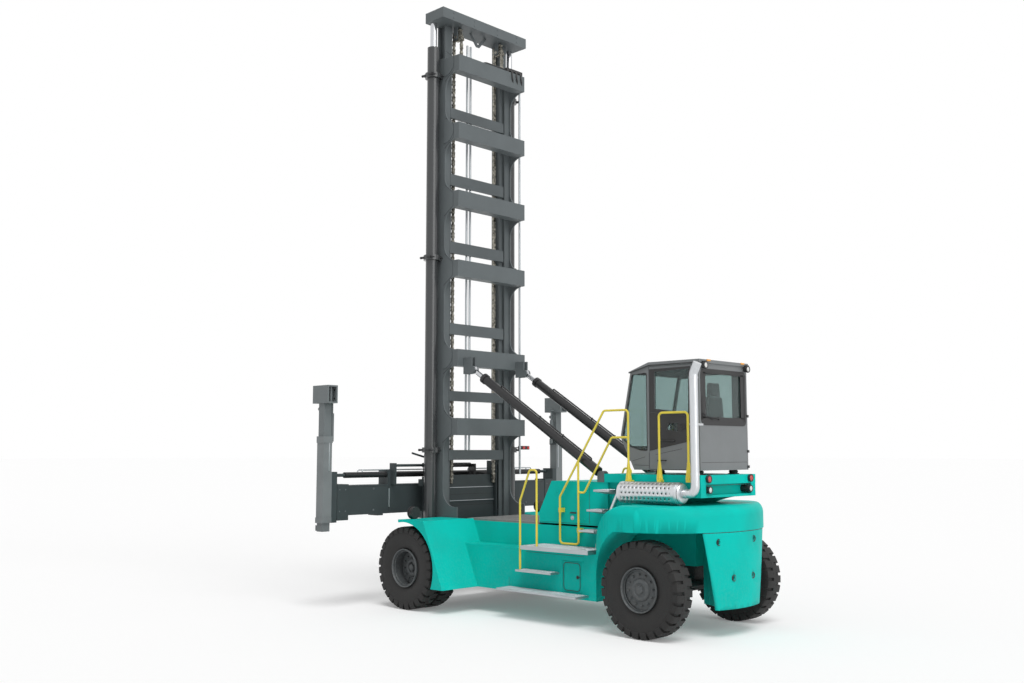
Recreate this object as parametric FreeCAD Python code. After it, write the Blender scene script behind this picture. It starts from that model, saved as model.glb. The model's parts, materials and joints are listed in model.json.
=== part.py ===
"""Empty container handler: chassis, cab, two-stage lift mast and telescopic side-lift spreader.

Sizes are in millimetres. Pieces are drawn with x = 0 on the front axle, +X forwards, +Y to the
left and z = 0 on the ground, and are moved at the end so that the middle of the overall length
is at x = 0.
"""
import FreeCAD
import Part
import math
import os

V = FreeCAD.Vector

# ---- running clearances -------------------------------------------------------------------
SEAT = 0.3                 # bearing faces and guide pads
PIN_PLAY = 0.1             # radial play of pins and bushes
CLEAR = 6.0                # between moving pieces that do not bear on each other

# ---- overall layout -----------------------------------------------------------------------
WHEELBASE = 4549.0
REAR_OVERHANG = 881.0      # steer axle to the rear face of the counterweight
FRONT_REACH = 1030.0       # front axle to the nose of the spreader heads
REAR_AXLE_X = -WHEELBASE
REAR_X = REAR_AXLE_X - REAR_OVERHANG
SHIFT_X = -(FRONT_REACH + REAR_X) / 2

# ---- wheels -------------------------------------------------------------------------------
TYRE_R = 683.0
RIM_R = 305.0
TYRE_SHOULDER = 62.0       # drop of the shoulder's bevel
TYRE_SHOULDER_IN = 30.0    # its width on the tread
TYRE_BEAD_IN = 14.0        # from the tyre's side to its bead
TYRE_BLOCKS = 22           # flat tread blocks round each shoulder
SLOT_W = 56.0
SLOT_DEPTH = 26.0
SLOT_SHARE = 0.38          # of the tyre's width
RIM_WALL = 12.0
REAR_TYRE_W = 369.0
REAR_TYRE_OUT_Y = 1351.0
FRONT_TYRE_W = 300.0
FRONT_TWIN_GAP = 40.0
FRONT_TYRE_OUT_Y = 1818.0
FRONT_TWIN_W = 2 * FRONT_TYRE_W + FRONT_TWIN_GAP
WHEEL_DISC_T = 20.0
HUB_R = 150.0

# ---- axles and steering -------------------------------------------------------------------
AXLE_HALF_DEPTH = 105.0
AXLE_HALF_HEIGHT = 140.0
AXLE_BOX_HALF = 1090.0
BANJO_R = 235.0
SPINDLE_R = 90.0
SPINDLE_END_Y = 1480.0
KINGPIN_Y = 900.0
KINGPIN_R = 40.0
KNUCKLE_BOSS_R = 72.0
KNUCKLE_BOSS_H = 170.0
FORK_T = 50.0
STUB_R = 55.0
STUB_END_Y = 1245.0
STEER_BEAM_HALF_H = 100.0
STEER_BEAM_HALF_D = 110.0
STEER_CYL_R = 45.0
STEER_CYL_HALF = 330.0
STEER_ROD_R = 24.0
STEER_ROD_HALF = 560.0
STEER_CLAMP_Y = (150.0, 190.0)

# ---- chassis ------------------------------------------------------------------------------
HULL_HALF = 700.0
HULL_WALL = 30.0
HULL_FRONT_X = -360.0
HULL_REAR_X = REAR_AXLE_X + 1009.0
HULL_BOTTOM_Z = 480.0
DECK_Z = 1480.0
DECK_T = 30.0
HULL_TOP_Z = DECK_Z - DECK_T
TAIL_BEAM_HALF = 290.0
TAIL_BEAM_BOTTOM_Z = 950.0
SIDE_BOX_HALF = 1050.0
SIDE_BOX_BOTTOM_Z = 400.0
SIDE_BOX_TOP_Z = 1090.0
HATCH_X = (HULL_REAR_X + 290.0, HULL_REAR_X + 670.0)
HATCH_Z = (490.0, 960.0)
HATCH_T = 20.0
HATCH_GAP = 6.0
BAY_DEPTH = 240.0

# ---- mast pivot ---------------------------------------------------------------------------
PIVOT_X = 0.0
PIVOT_Z = 1080.0
PIVOT_PIN_R = 45.0
PIVOT_LUG_R = 100.0
PIVOT_LUG_T = 60.0
PIVOT_ARM_T = 50.0

# ---- front mudguards ----------------------------------------------------------------------
GUARD_OUT_Y = 1840.0
GUARD_IN_Y = 860.0
GUARD_TIP_X = 130.0
GUARD_TOP_REAR_X = -510.0
GUARD_FOOT_X = -990.0
GUARD_FOOT_Z = 400.0
GUARD_ARCH_R = 760.0

# ---- hood, rear cover and counterweight ---------------------------------------------------
HOOD_FRONT_X = -2060.0
HOOD_NOSE_Z = 1650.0
HOOD_BROW_X = -2330.0
HOOD_TOP_Z = 2150.0
HOOD_WALL = 25.0
BAND_FRONT_X = HULL_REAR_X + 100.0
BAND_TOP_Z = 2280.0
BAND_HALF = 720.0
BAND_DROP = 130.0
TAIL_X = REAR_X + 230.0
TAIL_HALF = 650.0
TAIL_BOTTOM_Z = 1960.0
TAIL_CHEEK_X = TAIL_X + 330.0   # front end of the flush cheeks behind the hood
TAIL_CHEEK_HALF = 715.0
TAIL_RECESS_HALF = 590.0
TAIL_RECESS_Z = (1995.0, BAND_TOP_Z - BAND_DROP)
TAIL_RECESS_DEPTH = 120.0
COVER_HALF = 1450.0
COVER_BROW_X = REAR_AXLE_X + 299.0
COVER_TOP_Z = 1850.0
COVER_CORNER_R = 480.0
COVER_EDGE_R = 150.0
COVER_SWEEP_X = REAR_AXLE_X + 199.0     # where the cover reaches its full width
COVER_LEG_T = 20.0
COVER_FLANK = (HULL_REAR_X - 250.0, 1560.0)
ARCH_FLANK = (HULL_REAR_X - 110.0, 900.0)
ARCH_TOP_X = REAR_AXLE_X + 369.0
WEIGHT_BOTTOM_Z = 400.0
WEIGHT_BOTTOM_HALF = 650.0
WEIGHT_TOP_HALF = 975.0
WEIGHT_FRONT_X = REAR_AXLE_X - 251.0
WEIGHT_CORNER_X = REAR_X + 42.0
WEIGHT_CORNER_R = 40.0
TIE_HOLE_R = 32.0
TIE_HOLE_DEPTH = 120.0
TIE_HOLES = ((300.0, 833.0), (-300.0, 833.0), (-373.0, 1355.0), (660.0, 1345.0))   # y and z
SWEEP_CLEAR = 12.0
ENGINE_X = (HULL_REAR_X + 190.0, HULL_REAR_X + 1240.0)
ENGINE_HALF = 380.0
ENGINE_Z = (HULL_BOTTOM_Z + HULL_WALL, 1950.0)

# ---- steps ----------------------------------------------------------------------------------
STEP_T = 30.0
UPPER_STEP_Z = SIDE_BOX_TOP_Z + 2 * STEP_T
LOW_STEP_X = (HULL_REAR_X + 150.0, -1730.0)
LOW_STEP_Z = 475.0
LOW_STEP_Y = 1350.0
MIDDLE_STEP_X = (-2800.0, -2050.0)
MIDDLE_STEP_Z = 775.0
MIDDLE_STEP_Y = 1250.0
UPPER_STEP_X = (HULL_REAR_X + 20.0, -2130.0)
UPPER_STEP_Y = 1220.0
TREAD_HALF = 150.0
TREAD_OUT_Y = 980.0
TREAD_ROOT_H = 75.0
TREADS = ((HULL_REAR_X + 250.0, 1430.0), (HULL_REAR_X + 90.0, 1745.0), (HULL_REAR_X - 50.0, 2045.0))

# ---- handrails: rail routes are (x, z) of the tube's middle, x ahead of the hull's rear --------
RAIL_R = 17.0
RAIL_Y = 780.0
RAIL_BEND = 60.0
HOOD_RAIL = ((575.0, 2470.0), (575.0, 1185.0), (960.0, 1185.0), (960.0, 1905.0), (50.0, 3240.0),
             (-420.0, 3240.0), (-420.0, 2180.0))
MIDDLE_RAIL = ((575.0, 1985.0), (450.0, 1985.0), (-100.0, 2830.0), (-420.0, 2830.0))
RAIL_FEET = ((575.0, 1400.0), (960.0, 1700.0))
HOOP_Y = 1190.0
HOOP = ((-2100.0, MIDDLE_STEP_Z), (-2100.0, 1840.0), (-2310.0, 2330.0), (-2460.0, 2330.0),
        (-2460.0, UPPER_STEP_Z))
GUSSET_Z = (2194.0, 2457.0)
GUSSET_HALF = 54.0
GUSSET_T = 14.0
FOOT_T = 30.0
GATE_Z = (2210.0, 3180.0)

# ---- cab ----------------------------------------------------------------------------------
CAB_HALF = 630.0
CAB_REAR_X = REAR_AXLE_X - 591.0
GATE_X = (CAB_REAR_X + 100.0, CAB_REAR_X + 610.0)
CAB_FLOOR_Z = 2345.0
CAB_ROOF_Z = 3897.0
CAB_FOOT_X = CAB_REAR_X + 1190.0
CAB_CHIN_X = CAB_REAR_X + 1448.0
CAB_CHIN_Z = 2832.0
CAB_CHIN_R = 140.0
CAB_BROW_X = CAB_REAR_X + 1245.0
CAB_BROW_Z = 3806.0
CAB_CROWN_X = CAB_REAR_X + 890.0
CAB_WALL = 45.0
CAB_MOUNT_R = 50.0
CAB_MOUNT_Y = 450.0
CAB_MOUNT_X = (CAB_REAR_X + 150.0, CAB_FOOT_X - 350.0)
GLASS_T = 8.0
SCREEN_Z = (2700.0, 3785.0)
SCREEN_REAR_X = CAB_CROWN_X + 170.0
REAR_PANE_HALF = 570.0
REAR_PANE_Z = (3020.0, 3790.0)
SIDE_PANE_Z = (2800.0, 3820.0)
SIDE_PANE_X = (CAB_REAR_X + 240.0, CAB_REAR_X + 890.0)
ROOF_T = 50.0
ROOF_LIP = 20.0
ROOF_TIP_T = 18.0
DOOR_X = (CAB_REAR_X + 131.0, CAB_REAR_X + 901.0)
DOOR_Z = (2352.0, 3885.0)
DOOR_T = 38.0
DOOR_GAP = 6.0
# Window corners: x ahead of the cab's rear, and z.
QUARTER_PANE = ((940.0, 3790.0), (1215.0, 3772.0), (1403.0, 2860.0), (1374.0, 2788.0), (1245.0, 2690.0),
                (1070.0, 2640.0), (940.0, 2630.0))
DOOR_PANE = ((181.0, 3817.0), (795.0, 3799.0), (804.0, 3251.0), (194.0, 3168.0))
DOOR_PEEP = ((383.0, 3033.0), (553.0, 3028.0), (585.0, 2941.0), (385.0, 2906.0))

# ---- seat and controls: heights are above the cab's inner floor ---------------------------------
SEAT_X = (CAB_REAR_X + 130.0, CAB_REAR_X + 720.0)
SEAT_HALF = 250.0
SEAT_PLINTH_IN = 140.0
SEAT_PLINTH_HALF = 180.0
SEAT_PLINTH_H = 330.0
SEAT_CUSHION_T = 130.0
SEAT_BACK_T = 120.0
SEAT_BACK_TOP = 1050.0
HEADREST_TOP = 1250.0
HEADREST_HALF = 130.0
WHEEL_X = CAB_REAR_X + 870.0
WHEEL_H = 650.0
WHEEL_R = 205.0
WHEEL_RIM = 24.0
COLUMN_FOOT_X = CAB_REAR_X + 990.0
COLUMN_R = 45.0
ARM_BOX_Y = (-420.0, -290.0)
ARM_BOX_H = 560.0

# ---- exhaust ------------------------------------------------------------------------------
MUFFLER_R = 150.0
MUFFLER_Y = 870.0
MUFFLER_Z = 2020.0
MUFFLER_X = (REAR_AXLE_X - 461.0, REAR_AXLE_X + 649.0)
MUFFLER_EDGE_R = 40.0
HANGER_X = (MUFFLER_X[0] + 220.0, MUFFLER_X[1] - 200.0)
HANGER_HALF = (30.0, 60.0)
STACK_R = 62.0
STACK_X = REAR_AXLE_X - 661.0
STACK_TOP_Z = 3720.0
STACK_BEND = 110.0
STACK_TIP = 150.0
DOWNPIPE_R = 34.0
DOWNPIPE_BEND = 60.0
DOWNPIPE_FOOT_X = REAR_AXLE_X + 1129.0

# ---- lamps --------------------------------------------------------------------------------
HEAD_LAMP_R = 100.0
HEAD_LAMP_Y = 1560.0
TAIL_LAMP_R = 50.0
TAIL_LAMP_Y = 550.0
TAIL_LAMP_Z = (2225.0, 2070.0)
TAIL_LAMP_L = 40.0
WORK_LAMP_R = 45.0
WORK_LAMP_Y = 560.0
WORK_LAMP_L = 60.0
WORK_LAMP_DROP = 40.0

# ---- outer mast ---------------------------------------------------------------------------
RAIL_FRONT_X = 460.0
RAIL_REAR_X = 140.0
RAIL_OUT_Y = 850.0
RAIL_WEB_T = 40.0
RAIL_FLANGE_T = 30.0
RAIL_IN_Y = 700.0
OUTER_BOTTOM_Z = 300.0
OUTER_TOP_Z = 9800.0
MEMBER_REAR_X = -250.0
MEMBER_DEPTH = 200.0
MEMBER_H = 295.0
MEMBER_Z = (9473.0, 8218.0, 6968.0, 5708.0, 4115.0, 2905.0)
SIDE_PLATE_T = 25.0
SCALLOP_R = 300.0
SCALLOP_STRIP = 20.0
SIDE_PLATE_BOTTOM_Z = 960.0
SIDE_PLATE_FOOT_H = 700.0
PATCHED_MEMBERS = (0, 1, 4)
PATCH_T = 12.0
PATCH_REAR_X = -110.0
PATCH_Z = (-30.0, 400.0)      # above the foot of its cross member
FOOT_TIE_H = 130.0
LIFT_X = 300.0
LIFT_Y = 985.0
LIFT_TUBE_R = 110.0
LIFT_BORE_R = 85.0
LIFT_ROD_R = 60.0
PISTON_Z = (1300.0, 1400.0)
LIFT_TUBE_TOP_Z = 9980.0
LIFT_SHELF_Z = 300.0
LIFT_SHELF_T = 60.0
CLAMP_Z = (9400.0, 6030.0, 2600.0)
CLAMP_H = 90.0

# ---- inner mast ---------------------------------------------------------------------------
INNER_FRONT_X = 405.0
INNER_REAR_X = 195.0
INNER_FLANGE_T = 30.0
INNER_IN_Y = 620.0
INNER_OUT_Y = 790.0
INNER_WEB_Y = (690.0, 720.0)
INNER_BOTTOM_Z = 900.0
BEAM_X = (-69.0, 417.0)
BEAM_HALF = 1081.0
BEAM_Z = (10454.0, 10643.0)
BRACE_HALF = (220.0, 40.0)     # at the beam and at its foot
BRACE_H = 220.0
BRACE_WEB = 45.0
BRACE_T = 20.0
CHEEK_T = 15.0
CHEEK_HALF = 50.0
BAR_REAR_X = 150.0
BAR_HALF = 685.0
BAR_Z = ((8710.0, 8900.0), (7450.0, 7660.0), (6200.0, 6410.0),
         (4717.0, 4917.0), (3518.0, 3697.0), (2469.0, 2646.0))
CHAIN_Y = 525.0
CHAIN_W = 60.0
CHAIN_T = 40.0
SHEAVE_X = 148.0
SHEAVE_R = 82.0
SHEAVE_PIN_R = 25.0
SHEAVE_Z = BEAM_Z[0] - 184.0
CHAIN_ANCHOR_Z = SHEAVE_Z - 570.0
CHAIN_LOW_Z = 2100.0

# ---- carriage -----------------------------------------------------------------------------
CARRIAGE_Z = (1350.0, 2450.0)
CARRIAGE_SIDE_Y = (575.0, 605.0)
CARRIAGE_BACK_X = 300.0
GUIDE_X = (480.0, 600.0)
GUIDE_HALF = 1000.0
GUIDE_LOW_Z = (1450.0, 1570.0)
GUIDE_HIGH_Z = (2010.0, 2130.0)
ROLLER_R = 74.0
HOSE_ARM = ((605.0, 2380.0), (605.0, 2450.0), (1245.0, 2605.0), (1245.0, 2575.0), (700.0, 2440.0))
HOSE_ARM_X = (470.0, 500.0)
SHIFT_CYL_Z = 2375.0
SHIFT_CYL_X = 650.0
SHIFT_CYL_R = 42.0
SHIFT_BORE_R = 26.0
SHIFT_ROD_R = 24.0
SHIFT_CYL_Y = (-300.0, 850.0)
SHIFT_POST_W = 40.0
SHIFT_EAR_Y = (1490.0, 1530.0)
CLAW_LIP_GAP = 40.0        # from the rear face of the slide beams to the lips of the claws
CLAW_LIP_T = 40.0

# ---- spreader -----------------------------------------------------------------------------
FRAME_X = (725.0, 985.0)
FRAME_Z = (1550.0, 2050.0)
FRAME_HALF = 2670.0
FRAME_WALL = 20.0
PAD_Y = (1690.0, 1810.0)
PAD_H = 30.0
COLLAR_W = 230.0
COLLAR_EXTRA = 40.0
SADDLE_Y = (1430.0, 1590.0)
SADDLE_TOP = 30.0
CLAW_Y = (450.0, 750.0)
CLAW_HALF = 60.0
BOOM_W = 200.0
BOOM_WALL = 12.0
BOOM_SLACK = 8.0
BOOM_INNER_Y = -2000.0
ARM_X = 807.0
ARM_Y = FRAME_HALF + 210.0
SLEEVE_W = 176.0
LEG_W = 150.0
SLEEVE_Z = (1440.0, 2870.0)
LEG_Z = (1300.0, 3420.0)
HEAD_X = (600.0, FRONT_REACH)
HEAD_Y = 200.0
HEAD_Z = (3420.0, 3720.0)
HEAD_WALL = 25.0
HEAD_RECESS_DEPTH = 110.0
HEAD_ROD_R = 18.0
SIDE_CYL_R = 30.0
SIDE_CYL_Y = 145.0         # from the leg's middle inwards
SIDE_CYL_Z = (2785.0, 3257.0)
SIDE_ROD_R = 15.0
FOOT_L = 90.0
FOOT_HALF = 40.0
LOCK_PIN_R = 30.0
LOCK_PIN_L = 90.0
LOCK_PIN_Z = 3330.0
EXTEND_CYL_R = 50.0
EXTEND_CYL_Z = 2220.0
EXTEND_CYL_DX = 65.0
EXTEND_BORE_R = 34.0
EXTEND_ROD_R = 28.0
EXTEND_CYL_Y = (-1500.0, 2480.0)
EXTEND_PISTON_Y = -1200.0

# ---- tilt cylinders -----------------------------------------------------------------------
TILT_Y = 655.0
TILT_EYE_X = -460.0
TILT_EYE_Z = 4040.0
TILT_FOOT_X = HULL_REAR_X + 180.0
TILT_FOOT_Z = 2255.0
TILT_TUBE_R = 76.0
TILT_GLAND_R = 88.0
TILT_GLAND_L = 70.0
TILT_BORE_R = 58.0
TILT_ROD_R = 40.0
TILT_TUBE_END = 300.0      # from the rod's eye back to the end of the tube
TILT_EYE_HALF = 25.0
TILT_EAR_T = 25.0
TILT_PIN_R = 32.0
TILT_EYE_R = 68.0
TILT_OPEN_PLAY = 8.0       # play at the rod's eye, where the linkage is opened


# ---- helpers ------------------------------------------------------------------------------
def block(x, y, z):
    """Box between the low and high values of each axis."""
    return Part.makeBox(x[1] - x[0], y[1] - y[0], z[1] - z[0], V(x[0], y[0], z[0]))


def rod(start, end, radius):
    """Round bar between two points."""
    start, end = V(*start), V(*end)
    axis = end - start
    return Part.makeCylinder(radius, axis.Length, start, axis)


def ring(start, end, outer, inner):
    """Round tube between two points."""
    return rod(start, end, outer).cut(rod(start, end, inner))


def face_of(points):
    """Flat face bounded by straight edges."""
    corners = [V(*p) for p in points]
    return Part.Face(Part.makePolygon(corners + [corners[0]]))


def prism_y(profile, y0, y1):
    """Profile of (x, z) points extruded across the machine."""
    return face_of([(x, y0, z) for x, z in profile]).extrude(V(0, y1 - y0, 0))


def prism_z(profile, z0, z1):
    """Plan of (x, y) points extruded upwards."""
    return face_of([(x, y, z0) for x, y in profile]).extrude(V(0, 0, z1 - z0))


def prism_x(profile, x0, x1):
    """Profile of (y, z) points extruded along the machine."""
    return face_of([(x0, y, z) for y, z in profile]).extrude(V(x1 - x0, 0, 0))


def curved_wire(runs):
    """Closed outline of runs: two points make a straight edge, three an arc through the second."""
    edges = []
    for run in runs:
        points = [V(*p) for p in run]
        curve = Part.LineSegment(*points) if len(points) == 2 else Part.Arc(*points)
        edges.append(curve.toShape())
    return Part.Wire(edges)


def mirrored(shape):
    """The same piece on the other side of the machine."""
    return shape.mirror(V(0, 0, 0), V(0, 1, 0))


def both(*shapes):
    """Separate pieces on both sides, kept apart."""
    solids = []
    for shape in shapes:
        solids += shape.Solids + mirrored(shape).Solids
    return Part.makeCompound(solids)


def group(*shapes):
    """Separate pieces that stay separate solids."""
    solids = []
    for shape in shapes:
        solids += shape.Solids
    return Part.makeCompound(solids)


def fuse(*shapes):
    """One solid from pieces that are welded together."""
    return shapes[0].multiFuse(list(shapes[1:])).removeSplitter()


def fillet_where(shape, radius, test):
    """Round the edges whose middle point passes the test."""
    edges = [e for e in shape.Edges if test(e.valueAt((e.FirstParameter + e.LastParameter) / 2), e)]
    return shape.makeFillet(radius, edges)


def bent_bar(points, bend, radius):
    """Round bar along straight runs joined by tangent arcs."""
    points = [V(*p) for p in points]
    pieces = []
    start = points[0]
    for before, corner, after in zip(points, points[1:], points[2:]):
        into = (corner - before).normalize()
        out = (after - corner).normalize()
        turn = into.getAngle(out)
        reach = bend * math.tan(turn / 2)
        end = corner - into * reach
        inward = (out - into * into.dot(out)).normalize()
        disc = Part.Face(Part.Wire(Part.makeCircle(radius, end, into)))
        pieces.append(rod(start, end, radius))
        pieces.append(disc.revolve(end + inward * bend, into.cross(out), math.degrees(turn)))
        start = corner + out * reach
    pieces.append(rod(start, points[-1], radius))
    return fuse(*pieces)


# ---- wheels -------------------------------------------------------------------------------
def tread_corners(y, radius, axle_x):
    """Corners of the faceted outline about the axle line, with one flat side lowermost."""
    reach = radius / math.cos(math.pi / TYRE_BLOCKS)
    turns = [2 * math.pi * (i + 0.5) / TYRE_BLOCKS for i in range(TYRE_BLOCKS)]
    return [(axle_x + reach * math.sin(a), y, TYRE_R - reach * math.cos(a)) for a in turns]


def shoulder_slots(y0, y1, axle_x, offset):
    """Cutters for the slots of one shoulder, turned by a share of a block."""
    cutters = []
    for i in range(TYRE_BLOCKS):
        cutter = block((axle_x - SLOT_W / 2, axle_x + SLOT_W / 2), (y0, y1), (-SLOT_DEPTH, SLOT_DEPTH))
        cutter.rotate(V(axle_x, 0, TYRE_R), V(0, 1, 0), 360.0 * (i + offset) / TYRE_BLOCKS)
        cutters.append(cutter)
    return cutters


def tyre(y0, width, axle_x):
    """Tyre of flat tread blocks with slots across each shoulder, from y0 outwards."""
    y1 = y0 + width
    low = TYRE_R - TYRE_SHOULDER
    outline = [(y0 + TYRE_BEAD_IN, RIM_R), (y0, low), (y0 + TYRE_SHOULDER_IN, TYRE_R),
               (y1 - TYRE_SHOULDER_IN, TYRE_R), (y1, low), (y1 - TYRE_BEAD_IN, RIM_R)]
    rings = [tread_corners(y, radius, axle_x) for y, radius in outline]
    faces = []
    for near, far in zip(rings, rings[1:] + rings[:1]):
        for i in range(TYRE_BLOCKS):
            faces.append(face_of([near[i - 1], near[i], far[i], far[i - 1]]))
    body = Part.makeSolid(Part.makeShell(faces))
    if body.Volume < 0:
        body.reverse()
    reach = SLOT_SHARE * width
    cutters = shoulder_slots(y0 - 1, y0 + reach, axle_x, 0.5) + shoulder_slots(y1 - reach, y1 + 1, axle_x, 0)
    return body.cut(Part.makeCompound(cutters))


def axle_line(axle_x, y0, y1, radius):
    """Round bar on the axle line."""
    return rod((axle_x, y0, TYRE_R), (axle_x, y1, TYRE_R), radius)


def axle_ring(axle_x, y0, y1, outer, inner):
    return ring((axle_x, y0, TYRE_R), (axle_x, y1, TYRE_R), outer, inner)


def rear_rim():
    """Rim, disc and hub of the left steered wheel, bored for its stub axle."""
    y1 = REAR_TYRE_OUT_Y
    y0 = y1 - REAR_TYRE_W
    disc_y = STUB_END_Y - HUB_R
    bore = STUB_R + PIN_PLAY
    barrel = axle_ring(REAR_AXLE_X, y0 + RIM_WALL, y1 - RIM_WALL, RIM_R, RIM_R - RIM_WALL)
    disc = axle_ring(REAR_AXLE_X, disc_y, disc_y + WHEEL_DISC_T, RIM_R, bore)
    hub = axle_ring(REAR_AXLE_X, disc_y - WHEEL_DISC_T, STUB_END_Y + CLEAR, HUB_R, bore)
    cap = axle_line(REAR_AXLE_X, STUB_END_Y + CLEAR, STUB_END_Y + 4 * CLEAR, HUB_R - RIM_WALL)
    return fuse(barrel, disc, hub, cap)


def front_rim():
    """Twin rim with a deep outer dish and a long hub, bored for the axle end."""
    y1 = FRONT_TYRE_OUT_Y
    y0 = y1 - FRONT_TWIN_W
    disc_y = (y0 + y1) / 2
    bore = SPINDLE_R + PIN_PLAY
    hub_end = SPINDLE_END_Y + CLEAR
    barrel = axle_ring(0, y0 + RIM_WALL, y1 - RIM_WALL, RIM_R, RIM_R - RIM_WALL)
    disc = axle_ring(0, disc_y - WHEEL_DISC_T, disc_y, RIM_R, bore)
    hub = axle_ring(0, y0 + 4 * WHEEL_DISC_T, hub_end, HUB_R, bore)
    nose = axle_line(0, hub_end, hub_end + HUB_R, HUB_R)
    return fuse(barrel, disc, hub, nose)


def twin_tyres():
    outer = tyre(FRONT_TYRE_OUT_Y - FRONT_TYRE_W, FRONT_TYRE_W, 0)
    inner = tyre(FRONT_TYRE_OUT_Y - FRONT_TWIN_W, FRONT_TYRE_W, 0)
    return group(outer, inner)


def rear_tyre():
    return tyre(REAR_TYRE_OUT_Y - REAR_TYRE_W, REAR_TYRE_W, REAR_AXLE_X)


# ---- axles --------------------------------------------------------------------------------
def front_axle():
    """Drive axle: box housing, banjo, spindles and the seats that bolt to the hull."""
    z = (TYRE_R - AXLE_HALF_HEIGHT, TYRE_R + AXLE_HALF_HEIGHT)
    box = block((-AXLE_HALF_DEPTH, AXLE_HALF_DEPTH), (-AXLE_BOX_HALF, AXLE_BOX_HALF), z)
    banjo = rod((-AXLE_HALF_DEPTH - HUB_R, 0, TYRE_R), (AXLE_HALF_DEPTH, 0, TYRE_R), BANJO_R)
    spindle = axle_line(0, -SPINDLE_END_Y, SPINDLE_END_Y, SPINDLE_R)
    pieces = [banjo, spindle]
    seat_y = (HULL_HALF - 2 * PIVOT_LUG_R, HULL_HALF)
    seat = block((HULL_FRONT_X, -AXLE_HALF_DEPTH), seat_y, (z[0], z[1] + PIVOT_LUG_R))
    pieces += [seat, mirrored(seat)]
    return fuse(box, *pieces)


def steer_axle():
    """Steered rear axle: beam, kingpin bosses and the block that hangs it from the frame."""
    z = (TYRE_R - STEER_BEAM_HALF_H, TYRE_R + STEER_BEAM_HALF_H)
    x0, x1 = REAR_AXLE_X - STEER_BEAM_HALF_D, REAR_AXLE_X + STEER_BEAM_HALF_D
    neck = KNUCKLE_BOSS_R - CLEAR
    waist_y = KINGPIN_Y - 3 * KNUCKLE_BOSS_R
    plan = [(x0, 0), (x0, waist_y), (REAR_AXLE_X - neck, KINGPIN_Y), (REAR_AXLE_X + neck, KINGPIN_Y),
            (x1, waist_y), (x1, 0)]
    half = KNUCKLE_BOSS_H / 2
    beam = prism_z(plan, TYRE_R - half, TYRE_R + half)
    deep = block((x0, x1), (0, waist_y), z)
    boss = rod((REAR_AXLE_X, KINGPIN_Y, TYRE_R - half), (REAR_AXLE_X, KINGPIN_Y, TYRE_R + half),
               KNUCKLE_BOSS_R)
    side = fuse(beam, deep, boss)
    hanger = block((x0, x1), (-TAIL_BEAM_HALF / 2, TAIL_BEAM_HALF / 2), (z[1], TAIL_BEAM_BOTTOM_Z))
    cyl_x = x0 - STEER_CYL_R - CLEAR
    cylinder = rod((cyl_x, -STEER_CYL_HALF, TYRE_R), (cyl_x, STEER_CYL_HALF, TYRE_R), STEER_CYL_R)
    piston = rod((cyl_x, -STEER_ROD_HALF, TYRE_R), (cyl_x, STEER_ROD_HALF, TYRE_R), STEER_ROD_R)
    clamp = block((cyl_x, x0), STEER_CLAMP_Y, (TYRE_R - STEER_CYL_R, TYRE_R + STEER_CYL_R))
    axle = fuse(side, mirrored(side), hanger, cylinder, piston, clamp, mirrored(clamp))
    for y in (KINGPIN_Y, -KINGPIN_Y):
        bore = rod((REAR_AXLE_X, y, 0), (REAR_AXLE_X, y, 2 * TYRE_R), KINGPIN_R + PIN_PLAY)
        axle = axle.cut(bore)
    return axle


def knuckle():
    """Left steering knuckle: fork over the axle boss, kingpin and stub axle."""
    half = KNUCKLE_BOSS_H / 2
    root_y = KINGPIN_Y + KNUCKLE_BOSS_R + CLEAR
    back_y = root_y + FORK_T
    arms = []
    for low in (TYRE_R - half - SEAT - FORK_T, TYRE_R + half + SEAT):
        plate = block((REAR_AXLE_X - KNUCKLE_BOSS_R, REAR_AXLE_X + KNUCKLE_BOSS_R),
                      (KINGPIN_Y, back_y), (low, low + FORK_T))
        arms += [plate, rod((REAR_AXLE_X, KINGPIN_Y, low), (REAR_AXLE_X, KINGPIN_Y, low + FORK_T),
                            KNUCKLE_BOSS_R)]
    z = (TYRE_R - half - FORK_T, TYRE_R + half + FORK_T)
    back = block((REAR_AXLE_X - KNUCKLE_BOSS_R, REAR_AXLE_X + KNUCKLE_BOSS_R), (root_y, back_y), z)
    kingpin = rod((REAR_AXLE_X, KINGPIN_Y, z[0]), (REAR_AXLE_X, KINGPIN_Y, z[1]), KINGPIN_R)
    stub = axle_line(REAR_AXLE_X, root_y, STUB_END_Y, STUB_R)
    return fuse(back, kingpin, stub, *arms)


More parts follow.
